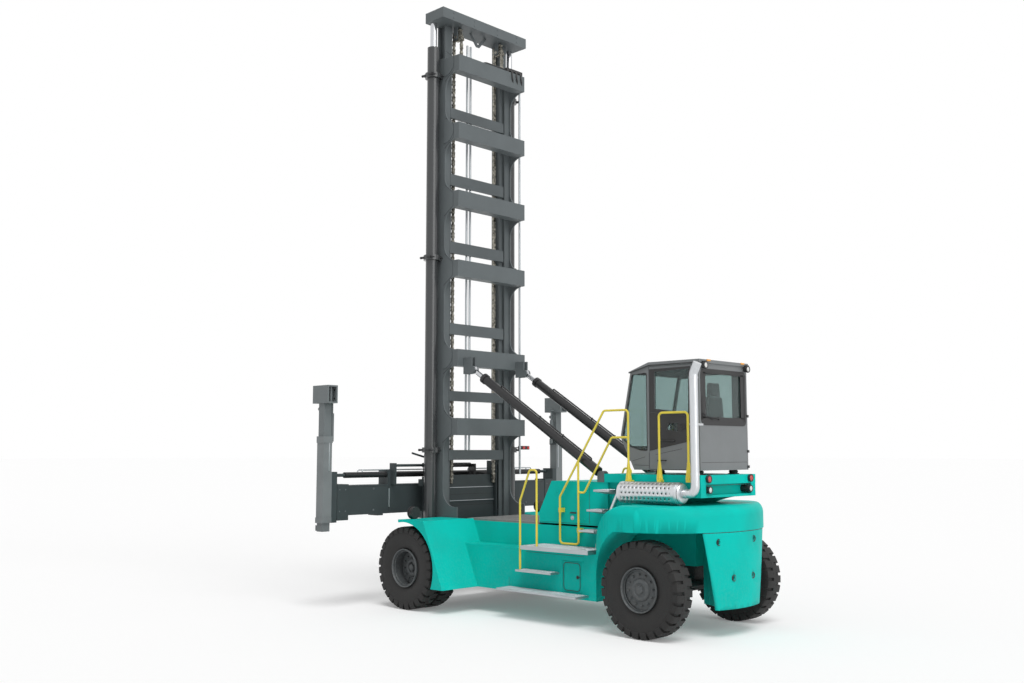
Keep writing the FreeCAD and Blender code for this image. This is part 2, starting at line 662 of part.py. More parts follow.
# ---- chassis ------------------------------------------------------------------------------
def chassis_frame():
    """Hull of welded plate, tail beam over the steer axle and the arms of the mast pivots."""
    outer = block((HULL_REAR_X, HULL_FRONT_X), (-HULL_HALF, HULL_HALF), (HULL_BOTTOM_Z, HULL_TOP_Z))
    inside = block((HULL_REAR_X + HULL_WALL, HULL_FRONT_X - HULL_WALL),
                   (-HULL_HALF + HULL_WALL, HULL_HALF - HULL_WALL),
                   (HULL_BOTTOM_Z + HULL_WALL, HULL_TOP_Z))
    hull = outer.cut(inside)
    beam = block((WEIGHT_FRONT_X, HULL_REAR_X), (-TAIL_BEAM_HALF, TAIL_BEAM_HALF),
                 (TAIL_BEAM_BOTTOM_Z, DECK_Z))
    arm_y = (RAIL_OUT_Y + PIVOT_LUG_T + CLEAR, RAIL_OUT_Y + PIVOT_LUG_T + CLEAR + PIVOT_ARM_T)
    root_x = HULL_FRONT_X - PIVOT_LUG_R
    z = (PIVOT_Z - PIVOT_LUG_R, PIVOT_Z + PIVOT_LUG_R)
    outrigger = block((root_x, HULL_FRONT_X), (HULL_HALF, arm_y[1]), z)
    arm = block((root_x, PIVOT_X), arm_y, z)
    nose = rod((PIVOT_X, arm_y[0], PIVOT_Z), (PIVOT_X, arm_y[1], PIVOT_Z), PIVOT_LUG_R)
    pin = rod((PIVOT_X, RAIL_OUT_Y - SIDE_PLATE_T, PIVOT_Z), (PIVOT_X, arm_y[1], PIVOT_Z), PIVOT_PIN_R)
    pivot = fuse(outrigger, arm, nose, pin)
    return fuse(hull, beam, pivot, mirrored(pivot))


def deck_plate():
    return block((HOOD_FRONT_X, HULL_FRONT_X), (-HULL_HALF, HULL_HALF), (HULL_TOP_Z, DECK_Z))


def guard_rear_x(z):
    """Where the slanting rear wall of the mudguard stands at a height."""
    slope = (GUARD_TOP_REAR_X - GUARD_FOOT_X) / (DECK_Z - GUARD_FOOT_Z)
    return GUARD_FOOT_X + (z - GUARD_FOOT_Z) * slope


def front_mudguard():
    """Left mudguard: wedge between the wheel arch and the slanting rear wall."""
    profile = [(GUARD_TIP_X, DECK_Z), (GUARD_TOP_REAR_X, DECK_Z), (GUARD_FOOT_X, GUARD_FOOT_Z),
               (GUARD_TIP_X, GUARD_FOOT_Z)]
    wedge = prism_y(profile, GUARD_IN_Y, GUARD_OUT_Y)
    arch = axle_line(0, GUARD_IN_Y, GUARD_OUT_Y, GUARD_ARCH_R)
    wedge = wedge.cut(arch)
    below = block((-GUARD_ARCH_R, 2 * GUARD_ARCH_R), (GUARD_IN_Y, GUARD_OUT_Y),
                  (GUARD_FOOT_Z, TYRE_R + 0.5 * GUARD_ARCH_R))
    keep = wedge.cut(block((0, 2 * GUARD_ARCH_R), (GUARD_IN_Y, GUARD_OUT_Y), (0, TYRE_R)))
    web = prism_y([(GUARD_TOP_REAR_X, DECK_Z), (GUARD_FOOT_X, GUARD_FOOT_Z),
                   (-GUARD_ARCH_R, GUARD_FOOT_Z), (-GUARD_ARCH_R, TYRE_R)], HULL_HALF, GUARD_IN_Y)
    return fuse(max(keep.Solids, key=lambda s: s.Volume), web)


def side_box(hatch):
    """Lower side box beside the hull; the left one has a bay behind its hatch."""
    profile = [(guard_rear_x(SIDE_BOX_TOP_Z), SIDE_BOX_TOP_Z), (HULL_REAR_X, SIDE_BOX_TOP_Z),
               (HULL_REAR_X, SIDE_BOX_BOTTOM_Z), (guard_rear_x(SIDE_BOX_BOTTOM_Z), SIDE_BOX_BOTTOM_Z)]
    box = prism_y(profile, HULL_HALF, SIDE_BOX_HALF)
    if hatch:
        bay_y = (SIDE_BOX_HALF - BAY_DEPTH, SIDE_BOX_HALF)
        return box.cut(block(HATCH_X, bay_y, HATCH_Z))
    return box


def service_hatch():
    x = (HATCH_X[0] + HATCH_GAP, HATCH_X[1] - HATCH_GAP)
    z = (HATCH_Z[0] + HATCH_GAP, HATCH_Z[1] - HATCH_GAP)
    leaf = block(x, (SIDE_BOX_HALF - HATCH_T, SIDE_BOX_HALF), z)
    knuckle_r = HATCH_GAP
    return fuse(leaf, rod((HATCH_X[0] + knuckle_r, SIDE_BOX_HALF, z[0]),
                          (HATCH_X[0] + knuckle_r, SIDE_BOX_HALF, z[1]), knuckle_r - SEAT))


# ---- hood and rear ------------------------------------------------------------------------
def hood():
    """Engine hood and cab deck: sloping nose, raised band and overhanging tail, hollow below."""
    rear = BAND_FRONT_X - 2 * HOOD_WALL
    nose = [(HOOD_FRONT_X, DECK_Z), (HOOD_FRONT_X, HOOD_NOSE_Z), (HOOD_BROW_X, HOOD_TOP_Z),
            (rear, HOOD_TOP_Z), (rear, DECK_Z)]
    front = prism_y(nose, -HULL_HALF, HULL_HALF)
    under = TAIL_BOTTOM_Z - HOOD_WALL
    outline = [[(BAND_FRONT_X, DECK_Z), (BAND_FRONT_X, HOOD_TOP_Z)],
               [(BAND_FRONT_X, HOOD_TOP_Z), (TAIL_X, HOOD_TOP_Z)],
               [(TAIL_X, HOOD_TOP_Z), (TAIL_X, TAIL_BOTTOM_Z)],
               [(TAIL_X, TAIL_BOTTOM_Z), ((TAIL_X + REAR_AXLE_X) / 2, under), (REAR_AXLE_X, COVER_TOP_Z)],
               [(REAR_AXLE_X, COVER_TOP_Z), (REAR_AXLE_X, DECK_Z)], [(REAR_AXLE_X, DECK_Z), (BAND_FRONT_X, DECK_Z)]]
    side = Part.Face(curved_wire([[(x, -TAIL_HALF, z) for x, z in run] for run in outline]))
    tail = side.extrude(V(0, 2 * TAIL_HALF, 0))
    band = block((TAIL_X, BAND_FRONT_X), (-BAND_HALF, BAND_HALF), (BAND_TOP_Z - BAND_DROP, BAND_TOP_Z))
    cheeks = block((TAIL_X, TAIL_CHEEK_X), (-TAIL_CHEEK_HALF, TAIL_CHEEK_HALF), (TAIL_BOTTOM_Z, BAND_TOP_Z))
    shell = fuse(front, tail, band, cheeks)
    w = HOOD_WALL
    cavity = [(HOOD_FRONT_X - w, DECK_Z), (HOOD_FRONT_X - w, HOOD_NOSE_Z - w / 2),
              (HOOD_BROW_X - w / 2, HOOD_TOP_Z - w), (BAND_FRONT_X - w, HOOD_TOP_Z - w),
              (BAND_FRONT_X - w, DECK_Z)]
    inner = TAIL_HALF - w
    recess = block((TAIL_X - 1, TAIL_X + TAIL_RECESS_DEPTH), (-TAIL_RECESS_HALF, TAIL_RECESS_HALF), TAIL_RECESS_Z)
    half = cover_half()
    return shell.cut(prism_y(cavity, -inner, inner)).cut(recess).cut(half).cut(mirrored(half))


def engine_block():
    return block(ENGINE_X, (-ENGINE_HALF, ENGINE_HALF), ENGINE_Z)


def cover_half():
    """Left half of the cover before its edges are rounded: swept front, wheel arch and flared plan."""
    bottom_x = HULL_REAR_X - COVER_LEG_T
    outline = [[(bottom_x, SIDE_BOX_BOTTOM_Z), (HULL_REAR_X, SIDE_BOX_BOTTOM_Z)],
               [(HULL_REAR_X, SIDE_BOX_BOTTOM_Z), (HULL_REAR_X, SIDE_BOX_TOP_Z)],
               [(HULL_REAR_X, SIDE_BOX_TOP_Z), COVER_FLANK, (COVER_BROW_X, COVER_TOP_Z)],
               [(COVER_BROW_X, COVER_TOP_Z), (REAR_X, COVER_TOP_Z)], [(REAR_X, COVER_TOP_Z), (REAR_X, DECK_Z)],
               [(REAR_X, DECK_Z), (ARCH_TOP_X, DECK_Z)],
               [(ARCH_TOP_X, DECK_Z), ARCH_FLANK, (bottom_x, SIDE_BOX_BOTTOM_Z)]]
    side = Part.Face(curved_wire([[(x, 0, z) for x, z in run] for run in outline]))
    run, rise = HULL_REAR_X - COVER_SWEEP_X, COVER_HALF - SIDE_BOX_HALF
    radius = (run ** 2 + rise ** 2) / (2 * rise)
    turn = math.asin(run / radius) / 2
    bulge = (COVER_SWEEP_X + radius * math.sin(turn), COVER_HALF - radius * (1 - math.cos(turn)))
    outline = [[(HULL_REAR_X, 0), (HULL_REAR_X, SIDE_BOX_HALF)],
               [(HULL_REAR_X, SIDE_BOX_HALF), bulge, (COVER_SWEEP_X, COVER_HALF)],
               [(COVER_SWEEP_X, COVER_HALF), (REAR_X, COVER_HALF)], [(REAR_X, COVER_HALF), (REAR_X, 0)],
               [(REAR_X, 0), (HULL_REAR_X, 0)]]
    plan = Part.Face(curved_wire([[(x, y, 0) for x, y in run] for run in outline]))
    body = side.extrude(V(0, COVER_HALF, 0)).common(plan.extrude(V(0, 0, COVER_TOP_Z)))
    return body.cut(block((REAR_X, HULL_REAR_X), (0, HULL_HALF), (0, DECK_Z)))


def rear_cover():
    """Rounded cover over the steered wheels, with a leg down to the side box on each side."""
    half = fillet_where(cover_half(), COVER_CORNER_R, lambda p, e: p.x < REAR_X + 1 and p.y > COVER_HALF - 1
                        and DECK_Z + 1 < p.z < COVER_TOP_Z - 1)
    half = fillet_where(half, COVER_EDGE_R, lambda p, e: p.z > COVER_TOP_Z - 1 and p.y > 1
                        and p.x < COVER_BROW_X - 1)
    half = half.cut(Part.makeSphere(steer_reach(), V(REAR_AXLE_X, KINGPIN_Y, TYRE_R)))
    return fuse(half, mirrored(half))


def steer_reach():
    """Radius about the kingpin that the steered wheel's tread stays inside."""
    return math.hypot(TYRE_R, REAR_TYRE_OUT_Y - TYRE_SHOULDER_IN - KINGPIN_Y) + SWEEP_CLEAR


def steer_sweep():
    """Upright cylinder that the left steered wheel stays inside at any steering angle."""
    return rod((REAR_AXLE_X, KINGPIN_Y, 0), (REAR_AXLE_X, KINGPIN_Y, DECK_Z), steer_reach())


def counterweight():
    """Cast counterweight: flared upwards, bowed behind, hollowed by the steered wheels' sweep."""
    def section(half, z):
        r = WEIGHT_CORNER_R
        near = r * (1 - math.sqrt(0.5))
        flank = (WEIGHT_CORNER_X + r, half)
        corner = (WEIGHT_CORNER_X + near, half - near)
        back = (WEIGHT_CORNER_X, half - r)
        front = (WEIGHT_FRONT_X, TAIL_BEAM_HALF)
        def other(point):
            return (point[0], -point[1])
        outline = [[front, flank], [flank, corner, back], [back, (REAR_X, 0), other(back)],
                   [other(back), other(corner), other(flank)], [other(flank), other(front)], [other(front), front]]
        return curved_wire([[(x, y, z) for x, y in run] for run in outline])
    body = Part.makeLoft([section(WEIGHT_BOTTOM_HALF, WEIGHT_BOTTOM_Z), section(WEIGHT_TOP_HALF, DECK_Z)],
                         True, True)
    sweep = steer_sweep()
    holes = [rod((REAR_X - 1, y, z), (REAR_X + TIE_HOLE_DEPTH, y, z), TIE_HOLE_R) for y, z in TIE_HOLES]
    return body.cut(sweep).cut(mirrored(sweep)).cut(Part.makeCompound(holes))


# ---- steps and rails ----------------------------------------------------------------------
def access_steps():
    """Treads beside the hull on both sides, and three up the hood on the left."""
    t = STEP_T
    low = block(LOW_STEP_X, (SIDE_BOX_HALF, LOW_STEP_Y), (LOW_STEP_Z - t, LOW_STEP_Z))
    middle = block(MIDDLE_STEP_X, (SIDE_BOX_HALF, MIDDLE_STEP_Y), (MIDDLE_STEP_Z - t, MIDDLE_STEP_Z))
    upper = block(UPPER_STEP_X, (HULL_HALF, UPPER_STEP_Y), (SIDE_BOX_TOP_Z, UPPER_STEP_Z))
    treads = [prism_x([(HULL_HALF, z), (TREAD_OUT_Y, z), (TREAD_OUT_Y, z - t), (HULL_HALF, z - TREAD_ROOT_H)],
                      x - TREAD_HALF, x + TREAD_HALF) for x, z in TREADS]
    return group(both(low, middle, upper), *treads)


def rail_foot(x, z):
    """Flat foot that carries a rail on the side of the hood."""
    return block((x - 2 * RAIL_R, x + 2 * RAIL_R), (HULL_HALF, RAIL_Y), (z - 2 * RAIL_R, z + 2 * RAIL_R))


def gusset(x, z):
    """Tapered plate round the foot of a rail's post."""
    top = z + GUSSET_Z[1] - GUSSET_Z[0]
    return prism_y([(x - GUSSET_HALF, z), (x + GUSSET_HALF, z), (x + RAIL_R, top), (x - RAIL_R, top)],
                   RAIL_Y - GUSSET_T / 2, RAIL_Y + GUSSET_T / 2)


def rail_route(route):
    return [(HULL_REAR_X + x, RAIL_Y, z) for x, z in route]


def handrails():
    """Rails of bent tube: up the hood on the left, a hoop at the steps on both sides."""
    main = bent_bar(rail_route(HOOD_RAIL), RAIL_BEND, RAIL_R)
    middle = bent_bar(rail_route(MIDDLE_RAIL), RAIL_BEND, RAIL_R)
    end_x = HULL_REAR_X + HOOD_RAIL[-1][0]
    low = GUSSET_Z[0]
    foot = block((end_x - GUSSET_HALF, end_x + GUSSET_HALF), (BAND_HALF, RAIL_Y + GUSSET_T), (low - FOOT_T, low))
    feet = [rail_foot(HULL_REAR_X + x, z) for x, z in RAIL_FEET]
    hood_rail = fuse(main, middle, foot, gusset(end_x, low), *feet)
    hoop = bent_bar([(x, HOOP_Y, z) for x, z in HOOP], RAIL_BEND, RAIL_R)
    return group(hood_rail, both(hoop), gate_posts())


def gate():
    """Guard hoop beside the cab door, swinging on its rear post."""
    hinge_x, free_x = GATE_X
    low, high = GATE_Z
    hoop = bent_bar([(free_x, RAIL_Y, low), (free_x, RAIL_Y, high), (hinge_x, RAIL_Y, high),
                     (hinge_x, RAIL_Y, low)], RAIL_BEND, RAIL_R)
    return fuse(hoop, gusset(hinge_x, low), gusset(free_x, low))


def gate_posts():
    """Feet of the guard hoop on the edge of the cab deck."""
    top = GATE_Z[0] - SEAT
    return group(*[block((x - FOOT_T, x + FOOT_T), (BAND_HALF, RAIL_Y + FOOT_T), (top - FOOT_T, top))
                   for x in GATE_X])


# ---- cab ----------------------------------------------------------------------------------
def cab_body(inset, half):
    """Solid of the cab's side outline moved inwards by an inset, with a rounded chin."""
    i = inset
    slope = (CAB_ROOF_Z - CAB_BROW_Z) / (CAB_BROW_X - CAB_CROWN_X)
    outline = [(CAB_REAR_X + i, CAB_FLOOR_Z + i), (CAB_REAR_X + i, CAB_ROOF_Z), (CAB_CROWN_X, CAB_ROOF_Z),
               (CAB_BROW_X - i, CAB_BROW_Z + i * slope), (CAB_CHIN_X - i, CAB_CHIN_Z),
               (CAB_FOOT_X - i, CAB_FLOOR_Z + i)]
    return fillet_where(prism_y(outline, -half, half), CAB_CHIN_R - i,
                        lambda p, e: p.x > CAB_CHIN_X - i - 1 and abs(p.z - CAB_CHIN_Z) < 1 and abs(p.y) < half - 1)


def pane_points(corners):
    return [(CAB_REAR_X + x, z) for x, z in corners]


def wall_pane(corners, outer_y, inner_y):
    """Prism of a side window's corners between two faces of the wall."""
    return prism_y(pane_points(corners), inner_y, outer_y)


def cab_shell():
    """Hollow cab body with its windows and door opening cut."""
    w = CAB_WALL
    shell = cab_body(0, CAB_HALF).cut(cab_body(w, CAB_HALF - w))
    left = (CAB_HALF - w - 1, CAB_HALF + 1)
    right = (-CAB_HALF - 1, -CAB_HALF + w + 1)
    holes = [block((CAB_REAR_X - 1, CAB_REAR_X + w + 1), (-REAR_PANE_HALF, REAR_PANE_HALF), REAR_PANE_Z),
             block(DOOR_X, left, DOOR_Z), block(SIDE_PANE_X, right, SIDE_PANE_Z),
             wall_pane(QUARTER_PANE, left[1], left[0]), wall_pane(QUARTER_PANE, right[1], right[0]),
             block((SCREEN_REAR_X, CAB_CHIN_X + 1), (-CAB_HALF + w, CAB_HALF - w), SCREEN_Z)]
    for hole in holes:
        shell = shell.cut(hole)
    mounts = [rod((x, y, BAND_TOP_Z), (x, y, CAB_FLOOR_Z), CAB_MOUNT_R)
              for x in CAB_MOUNT_X for y in (-CAB_MOUNT_Y, CAB_MOUNT_Y)]
    return fuse(shell, *mounts)


def cab_roof():
    """Roof that follows the crown down to a thin brow over the screen."""
    slope = (CAB_ROOF_Z - CAB_BROW_Z) / (CAB_BROW_X - CAB_CROWN_X)
    rear, tip = CAB_REAR_X - ROOF_LIP, CAB_BROW_X + ROOF_LIP
    tip_z = CAB_BROW_Z - ROOF_LIP * slope
    profile = [(rear, CAB_ROOF_Z), (rear, CAB_ROOF_Z + ROOF_T), (CAB_CROWN_X, CAB_ROOF_Z + ROOF_T),
               (tip, tip_z + ROOF_TIP_T), (tip, tip_z), (CAB_CROWN_X, CAB_ROOF_Z)]
    return prism_y(profile, -CAB_HALF - ROOF_LIP, CAB_HALF + ROOF_LIP)


def cab_glass():
    """Window panes, each set in the middle of its wall."""
    g = GLASS_T
    mid = (CAB_WALL - g) / 2
    half = CAB_HALF - CAB_WALL
    outer, inner = CAB_HALF - mid, CAB_HALF - mid - g
    rear = block((CAB_REAR_X + mid, CAB_REAR_X + mid + g), (-REAR_PANE_HALF, REAR_PANE_HALF), REAR_PANE_Z)
    right = block(SIDE_PANE_X, (-outer, -inner), SIDE_PANE_Z)
    quarters = [wall_pane(QUARTER_PANE, outer, inner), wall_pane(QUARTER_PANE, -inner, -outer)]
    sheet = cab_body(mid, half).cut(cab_body(mid + g, half))
    screen = sheet.common(block((SCREEN_REAR_X, CAB_CHIN_X), (-half, half), SCREEN_Z))
    return group(rear, right, *quarters, screen)


def cab_door():
    """Door leaf with its upper window and the small pane below it cut."""
    x = (DOOR_X[0] + DOOR_GAP, DOOR_X[1] - DOOR_GAP)
    z = (DOOR_Z[0] + DOOR_GAP, DOOR_Z[1] - DOOR_GAP)
    leaf = block(x, (CAB_HALF - DOOR_T, CAB_HALF), z)
    for corners in (DOOR_PANE, DOOR_PEEP):
        leaf = leaf.cut(wall_pane(corners, CAB_HALF + 1, CAB_HALF - DOOR_T - 1))
    return fuse(leaf, rod((x[0], CAB_HALF, z[0]), (x[0], CAB_HALF, z[1]), DOOR_GAP - SEAT))


def door_glass():
    mid = CAB_HALF - DOOR_T / 2
    return group(*[wall_pane(corners, mid + GLASS_T / 2, mid - GLASS_T / 2) for corners in (DOOR_PANE, DOOR_PEEP)])


def cab_seat():
    """Seat on its pedestal."""
    floor = CAB_FLOOR_Z + CAB_WALL
    base_z = floor + SEAT_PLINTH_H
    back_x = (SEAT_X[0], SEAT_X[0] + SEAT_BACK_T)
    base = block((SEAT_X[0] + SEAT_PLINTH_IN, SEAT_X[1] - SEAT_PLINTH_IN),
                 (-SEAT_PLINTH_HALF, SEAT_PLINTH_HALF), (floor, base_z))
    cushion = block((back_x[1], SEAT_X[1]), (-SEAT_HALF, SEAT_HALF), (base_z, base_z + SEAT_CUSHION_T))
    back = block(back_x, (-SEAT_HALF, SEAT_HALF), (base_z, floor + SEAT_BACK_TOP))
    head = block(back_x, (-HEADREST_HALF, HEADREST_HALF), (floor + SEAT_BACK_TOP, floor + HEADREST_TOP))
    return fuse(base, cushion, back, head)


def cab_console():
    """Steering column and wheel, and the panel beside the seat."""
    floor = CAB_FLOOR_Z + CAB_WALL
    z = (floor + WHEEL_H - WHEEL_RIM / 2, floor + WHEEL_H + WHEEL_RIM / 2)
    column = rod((COLUMN_FOOT_X, 0, floor - COLUMN_R), (WHEEL_X, 0, z[1]), COLUMN_R)
    reach = COLUMN_FOOT_X + 2 * COLUMN_R
    column = column.cut(block((WHEEL_X, reach), (-COLUMN_R, COLUMN_R), (floor - 2 * COLUMN_R, floor)))
    wheel = ring((WHEEL_X, 0, z[0]), (WHEEL_X, 0, z[1]), WHEEL_R, WHEEL_R - WHEEL_RIM)
    end = WHEEL_R - WHEEL_RIM / 2
    spoke = rod((WHEEL_X, -end, floor + WHEEL_H), (WHEEL_X, end, floor + WHEEL_H), WHEEL_RIM / 2)
    panel = block((SEAT_X[0] + SEAT_PLINTH_IN, SEAT_X[1]), ARM_BOX_Y, (floor, floor + ARM_BOX_H))
    return group(fuse(column, wheel, spoke), panel)


# ---- exhaust ------------------------------------------------------------------------------
def exhaust():
    """Muffler in its guard, pipe from below and the stack beside the cab."""
    y, z = MUFFLER_Y, MUFFLER_Z
    drum = rod((MUFFLER_X[0], y, z), (MUFFLER_X[1], y, z), MUFFLER_R)
    drum = fillet_where(drum, MUFFLER_EDGE_R, lambda p, e: True)
    stack = bent_bar([(MUFFLER_X[0] + MUFFLER_EDGE_R, y, z), (STACK_X, y, z), (STACK_X, y, STACK_TOP_Z),
                      (STACK_X - STACK_TIP / 2, y, STACK_TOP_Z + STACK_TIP)], STACK_BEND, STACK_R)
    down = bent_bar([(MUFFLER_X[1] - MUFFLER_EDGE_R, y, z), (MUFFLER_X[1] + DOWNPIPE_BEND, y, z),
                     (DOWNPIPE_FOOT_X, y, UPPER_STEP_Z + DOWNPIPE_BEND), (DOWNPIPE_FOOT_X, y, UPPER_STEP_Z)],
                    DOWNPIPE_BEND, DOWNPIPE_R)
    wide, high = HANGER_HALF
    hangers = [block((x - wide, x + wide), (TAIL_HALF, y), (z - high, z + high)) for x in HANGER_X]
    return fuse(drum, stack, down, *hangers)


# ---- lamps --------------------------------------------------------------------------------
def head_lamps():
    """Round lamp on a short stem at the tip of each mudguard."""
    r, y = HEAD_LAMP_R, HEAD_LAMP_Y
    z = DECK_Z + r + CLEAR
    stem = block((r / 4, r / 2), (y - r / 4, y + r / 4), (DECK_Z, z))
    return both(fuse(rod((0, y, z), (r, y, z), r), stem))


def tail_lamps():
    """Red lamps on the band and white ones standing in the recess."""
    x = TAIL_X - TAIL_LAMP_L
    red_z, white_z = TAIL_LAMP_Z
    white_y = TAIL_RECESS_HALF - TAIL_LAMP_R - CLEAR
    red = rod((x, TAIL_LAMP_Y, red_z), (TAIL_X, TAIL_LAMP_Y, red_z), TAIL_LAMP_R)
    white = rod((x, white_y, white_z), (TAIL_X + TAIL_RECESS_DEPTH, white_y, white_z), TAIL_LAMP_R)
    return both(red, white)


def work_lamps():
    """Lamps hung from the rear edge of the cab's roof."""
    x, r = CAB_REAR_X - ROOF_LIP, WORK_LAMP_R
    z = CAB_ROOF_Z - WORK_LAMP_DROP
    lamp = rod((x - WORK_LAMP_L, WORK_LAMP_Y, z), (x, WORK_LAMP_Y, z), r)
    carrier = block((x - WORK_LAMP_L, x), (WORK_LAMP_Y - r / 2, WORK_LAMP_Y + r / 2),
                    (z + r - CLEAR, CAB_ROOF_Z + ROOF_LIP))
    return both(fuse(lamp, carrier))


# ---- tilt cylinders -----------------------------------------------------------------------
def tilt_axis():
    """Unit vector from the foot of a tilt cylinder to its rod's eye, and their distance."""
    line = V(TILT_EYE_X - TILT_FOOT_X, 0, TILT_EYE_Z - TILT_FOOT_Z)
    return line.normalize(), math.hypot(TILT_EYE_X - TILT_FOOT_X, TILT_EYE_Z - TILT_FOOT_Z)


def tilt_point(distance, y=TILT_Y):
    axis, _ = tilt_axis()
    return (TILT_FOOT_X + axis.x * distance, y, TILT_FOOT_Z + axis.z * distance)


def across(x, z, half, radius):
    """Round bar across the machine, centred on a tilt cylinder."""
    return rod((x, TILT_Y - half, z), (x, TILT_Y + half, z), radius)


def tilt_tube():
    _, length = tilt_axis()
    end = length - TILT_TUBE_END
    start = TILT_EYE_R + 30
    tube = rod(tilt_point(start), tilt_point(end), TILT_TUBE_R)
    bore = rod(tilt_point(start + 60), tilt_point(end - 80), TILT_BORE_R)
    gland = rod(tilt_point(end - 90), tilt_point(end + 1), TILT_ROD_R + PIN_PLAY)
    neck = rod(tilt_point(0), tilt_point(start + 1), TILT_EYE_HALF)
    eye = across(TILT_FOOT_X, TILT_FOOT_Z, TILT_EYE_HALF, TILT_EYE_R)
    hole = across(TILT_FOOT_X, TILT_FOOT_Z, 2 * TILT_EYE_HALF, TILT_PIN_R + PIN_PLAY)
    collar = ring(tilt_point(end - TILT_GLAND_L), tilt_point(end), TILT_GLAND_R, TILT_TUBE_R - 1)
    return fuse(tube.cut(bore).cut(gland), neck, eye, collar).cut(hole)


def tilt_rod():
    _, length = tilt_axis()
    bar = rod(tilt_point(0.2 * length), tilt_point(length - TILT_EYE_R / 2), TILT_ROD_R)
    eye = across(TILT_EYE_X, TILT_EYE_Z, TILT_EYE_HALF, TILT_EYE_R)
    hole = across(TILT_EYE_X, TILT_EYE_Z, 2 * TILT_EYE_R, TILT_PIN_R + TILT_OPEN_PLAY)
    return fuse(bar, eye).cut(hole).cut(fork_gap())


def fork_gap():
    """Room for the clevis ears beside the rod's eye."""
    r = TILT_EYE_R + 30
    side = block((TILT_EYE_X - r, TILT_EYE_X + r),
                 (TILT_Y + TILT_EYE_HALF, TILT_Y + 4 * TILT_EYE_HALF), (TILT_EYE_Z - r, TILT_EYE_Z + r))
    other = block((TILT_EYE_X - r, TILT_EYE_X + r),
                  (TILT_Y - 4 * TILT_EYE_HALF, TILT_Y - TILT_EYE_HALF), (TILT_EYE_Z - r, TILT_EYE_Z + r))
    return Part.makeCompound([side, other])


def clevis_ears():
    """Inner and outer faces of the two ears of a clevis."""
    inner = TILT_EYE_HALF + CLEAR
    outer = inner + TILT_EAR_T
    return ((TILT_Y - outer, TILT_Y - inner), (TILT_Y + inner, TILT_Y + outer))


def tilt_anchors():
    """Clevises on the hood that hold the feet of the tilt cylinders."""
    r = TILT_EYE_R
    pieces = []
    for ear in clevis_ears():
        pieces.append(block((TILT_FOOT_X - r, TILT_FOOT_X + r), ear, (HOOD_TOP_Z, TILT_FOOT_Z)))
        pieces.append(rod((TILT_FOOT_X, ear[0], TILT_FOOT_Z), (TILT_FOOT_X, ear[1], TILT_FOOT_Z), r))
    ears = clevis_ears()
    pad = block((TILT_FOOT_X - r, TILT_FOOT_X + r), (ears[0][0], HULL_HALF), (HOOD_TOP_Z, HOOD_TOP_Z + 25))
    pin = rod((TILT_FOOT_X, ears[0][0], TILT_FOOT_Z), (TILT_FOOT_X, ears[1][1], TILT_FOOT_Z), TILT_PIN_R)
    return both(fuse(pad, pin, *pieces))


# ---- outer mast ---------------------------------------------------------------------------
def outer_rail():
    """Left channel of the outer mast."""
    z = (OUTER_BOTTOM_Z, OUTER_TOP_Z)
    web = block((RAIL_REAR_X, RAIL_FRONT_X), (RAIL_OUT_Y - RAIL_WEB_T, RAIL_OUT_Y), z)
    rear = block((RAIL_REAR_X, RAIL_REAR_X + RAIL_FLANGE_T), (RAIL_IN_Y, RAIL_OUT_Y), z)
    front = block((RAIL_FRONT_X - RAIL_FLANGE_T, RAIL_FRONT_X), (RAIL_IN_Y, RAIL_OUT_Y), z)
    return fuse(web, rear, front)


def scallop(z0, z1):
    """Rounded cut-out between two cross members, open to the rear."""
    root = RAIL_REAR_X - SCALLOP_STRIP
    r = min(SCALLOP_R, (z1 - z0) / 2 - 1)
    hole = block((MEMBER_REAR_X - 1, root), (0, 2 * RAIL_OUT_Y), (z0, z1))
    return fillet_where(hole, r, lambda p, e: p.x > root - 1 and abs(p.y - RAIL_OUT_Y) < 1
                        and (abs(p.z - z0) < 1 or abs(p.z - z1) < 1))


def patch(plate, foot_z):
    """Doubling plate with a round rear edge on the outside of a side plate, at one cross member."""
    low, high = foot_z + PATCH_Z[0], foot_z + PATCH_Z[1]
    corners = [(RAIL_REAR_X, low), (PATCH_REAR_X, (low + high) / 2), (RAIL_REAR_X, high)]
    arc = [(x, RAIL_OUT_Y, z) for x, z in corners]
    face = Part.Face(curved_wire([arc, [arc[2], arc[0]]]))
    raised = plate.copy()
    raised.translate(V(0, PATCH_T, 0))
    return face.extrude(V(0, PATCH_T, 0)).common(raised)


def side_plate():
    """Left side plate behind the channel, scalloped between the cross members."""
    y = (RAIL_OUT_Y - SIDE_PLATE_T, RAIL_OUT_Y)
    top = MEMBER_Z[0] + MEMBER_H
    plate = block((MEMBER_REAR_X, RAIL_REAR_X), y, (SIDE_PLATE_BOTTOM_Z, top))
    bounds = list(MEMBER_Z)
    for upper, lower in zip(bounds, bounds[1:]):
        plate = plate.cut(scallop(lower + MEMBER_H, upper))
    plate = plate.cut(scallop(SIDE_PLATE_BOTTOM_Z + SIDE_PLATE_FOOT_H, bounds[-1]))
    patches = [patch(plate, MEMBER_Z[i]) for i in PATCHED_MEMBERS]
    lug = rod((PIVOT_X, y[0], PIVOT_Z), (PIVOT_X, RAIL_OUT_Y + PIVOT_LUG_T, PIVOT_Z), PIVOT_LUG_R)
    knee = block((PIVOT_X, RAIL_REAR_X + RAIL_FLANGE_T), (RAIL_OUT_Y, RAIL_OUT_Y + PIVOT_LUG_T),
                 (PIVOT_Z - PIVOT_LUG_R, PIVOT_Z + PIVOT_LUG_R))
    knee = knee.cut(rod((LIFT_X, LIFT_Y, 0), (LIFT_X, LIFT_Y, OUTER_TOP_Z), LIFT_TUBE_R + SEAT))
    bore = rod((PIVOT_X, 0, PIVOT_Z), (PIVOT_X, 2 * RAIL_OUT_Y, PIVOT_Z), PIVOT_PIN_R + PIN_PLAY)
    return fuse(plate, lug, knee, *patches).cut(bore)


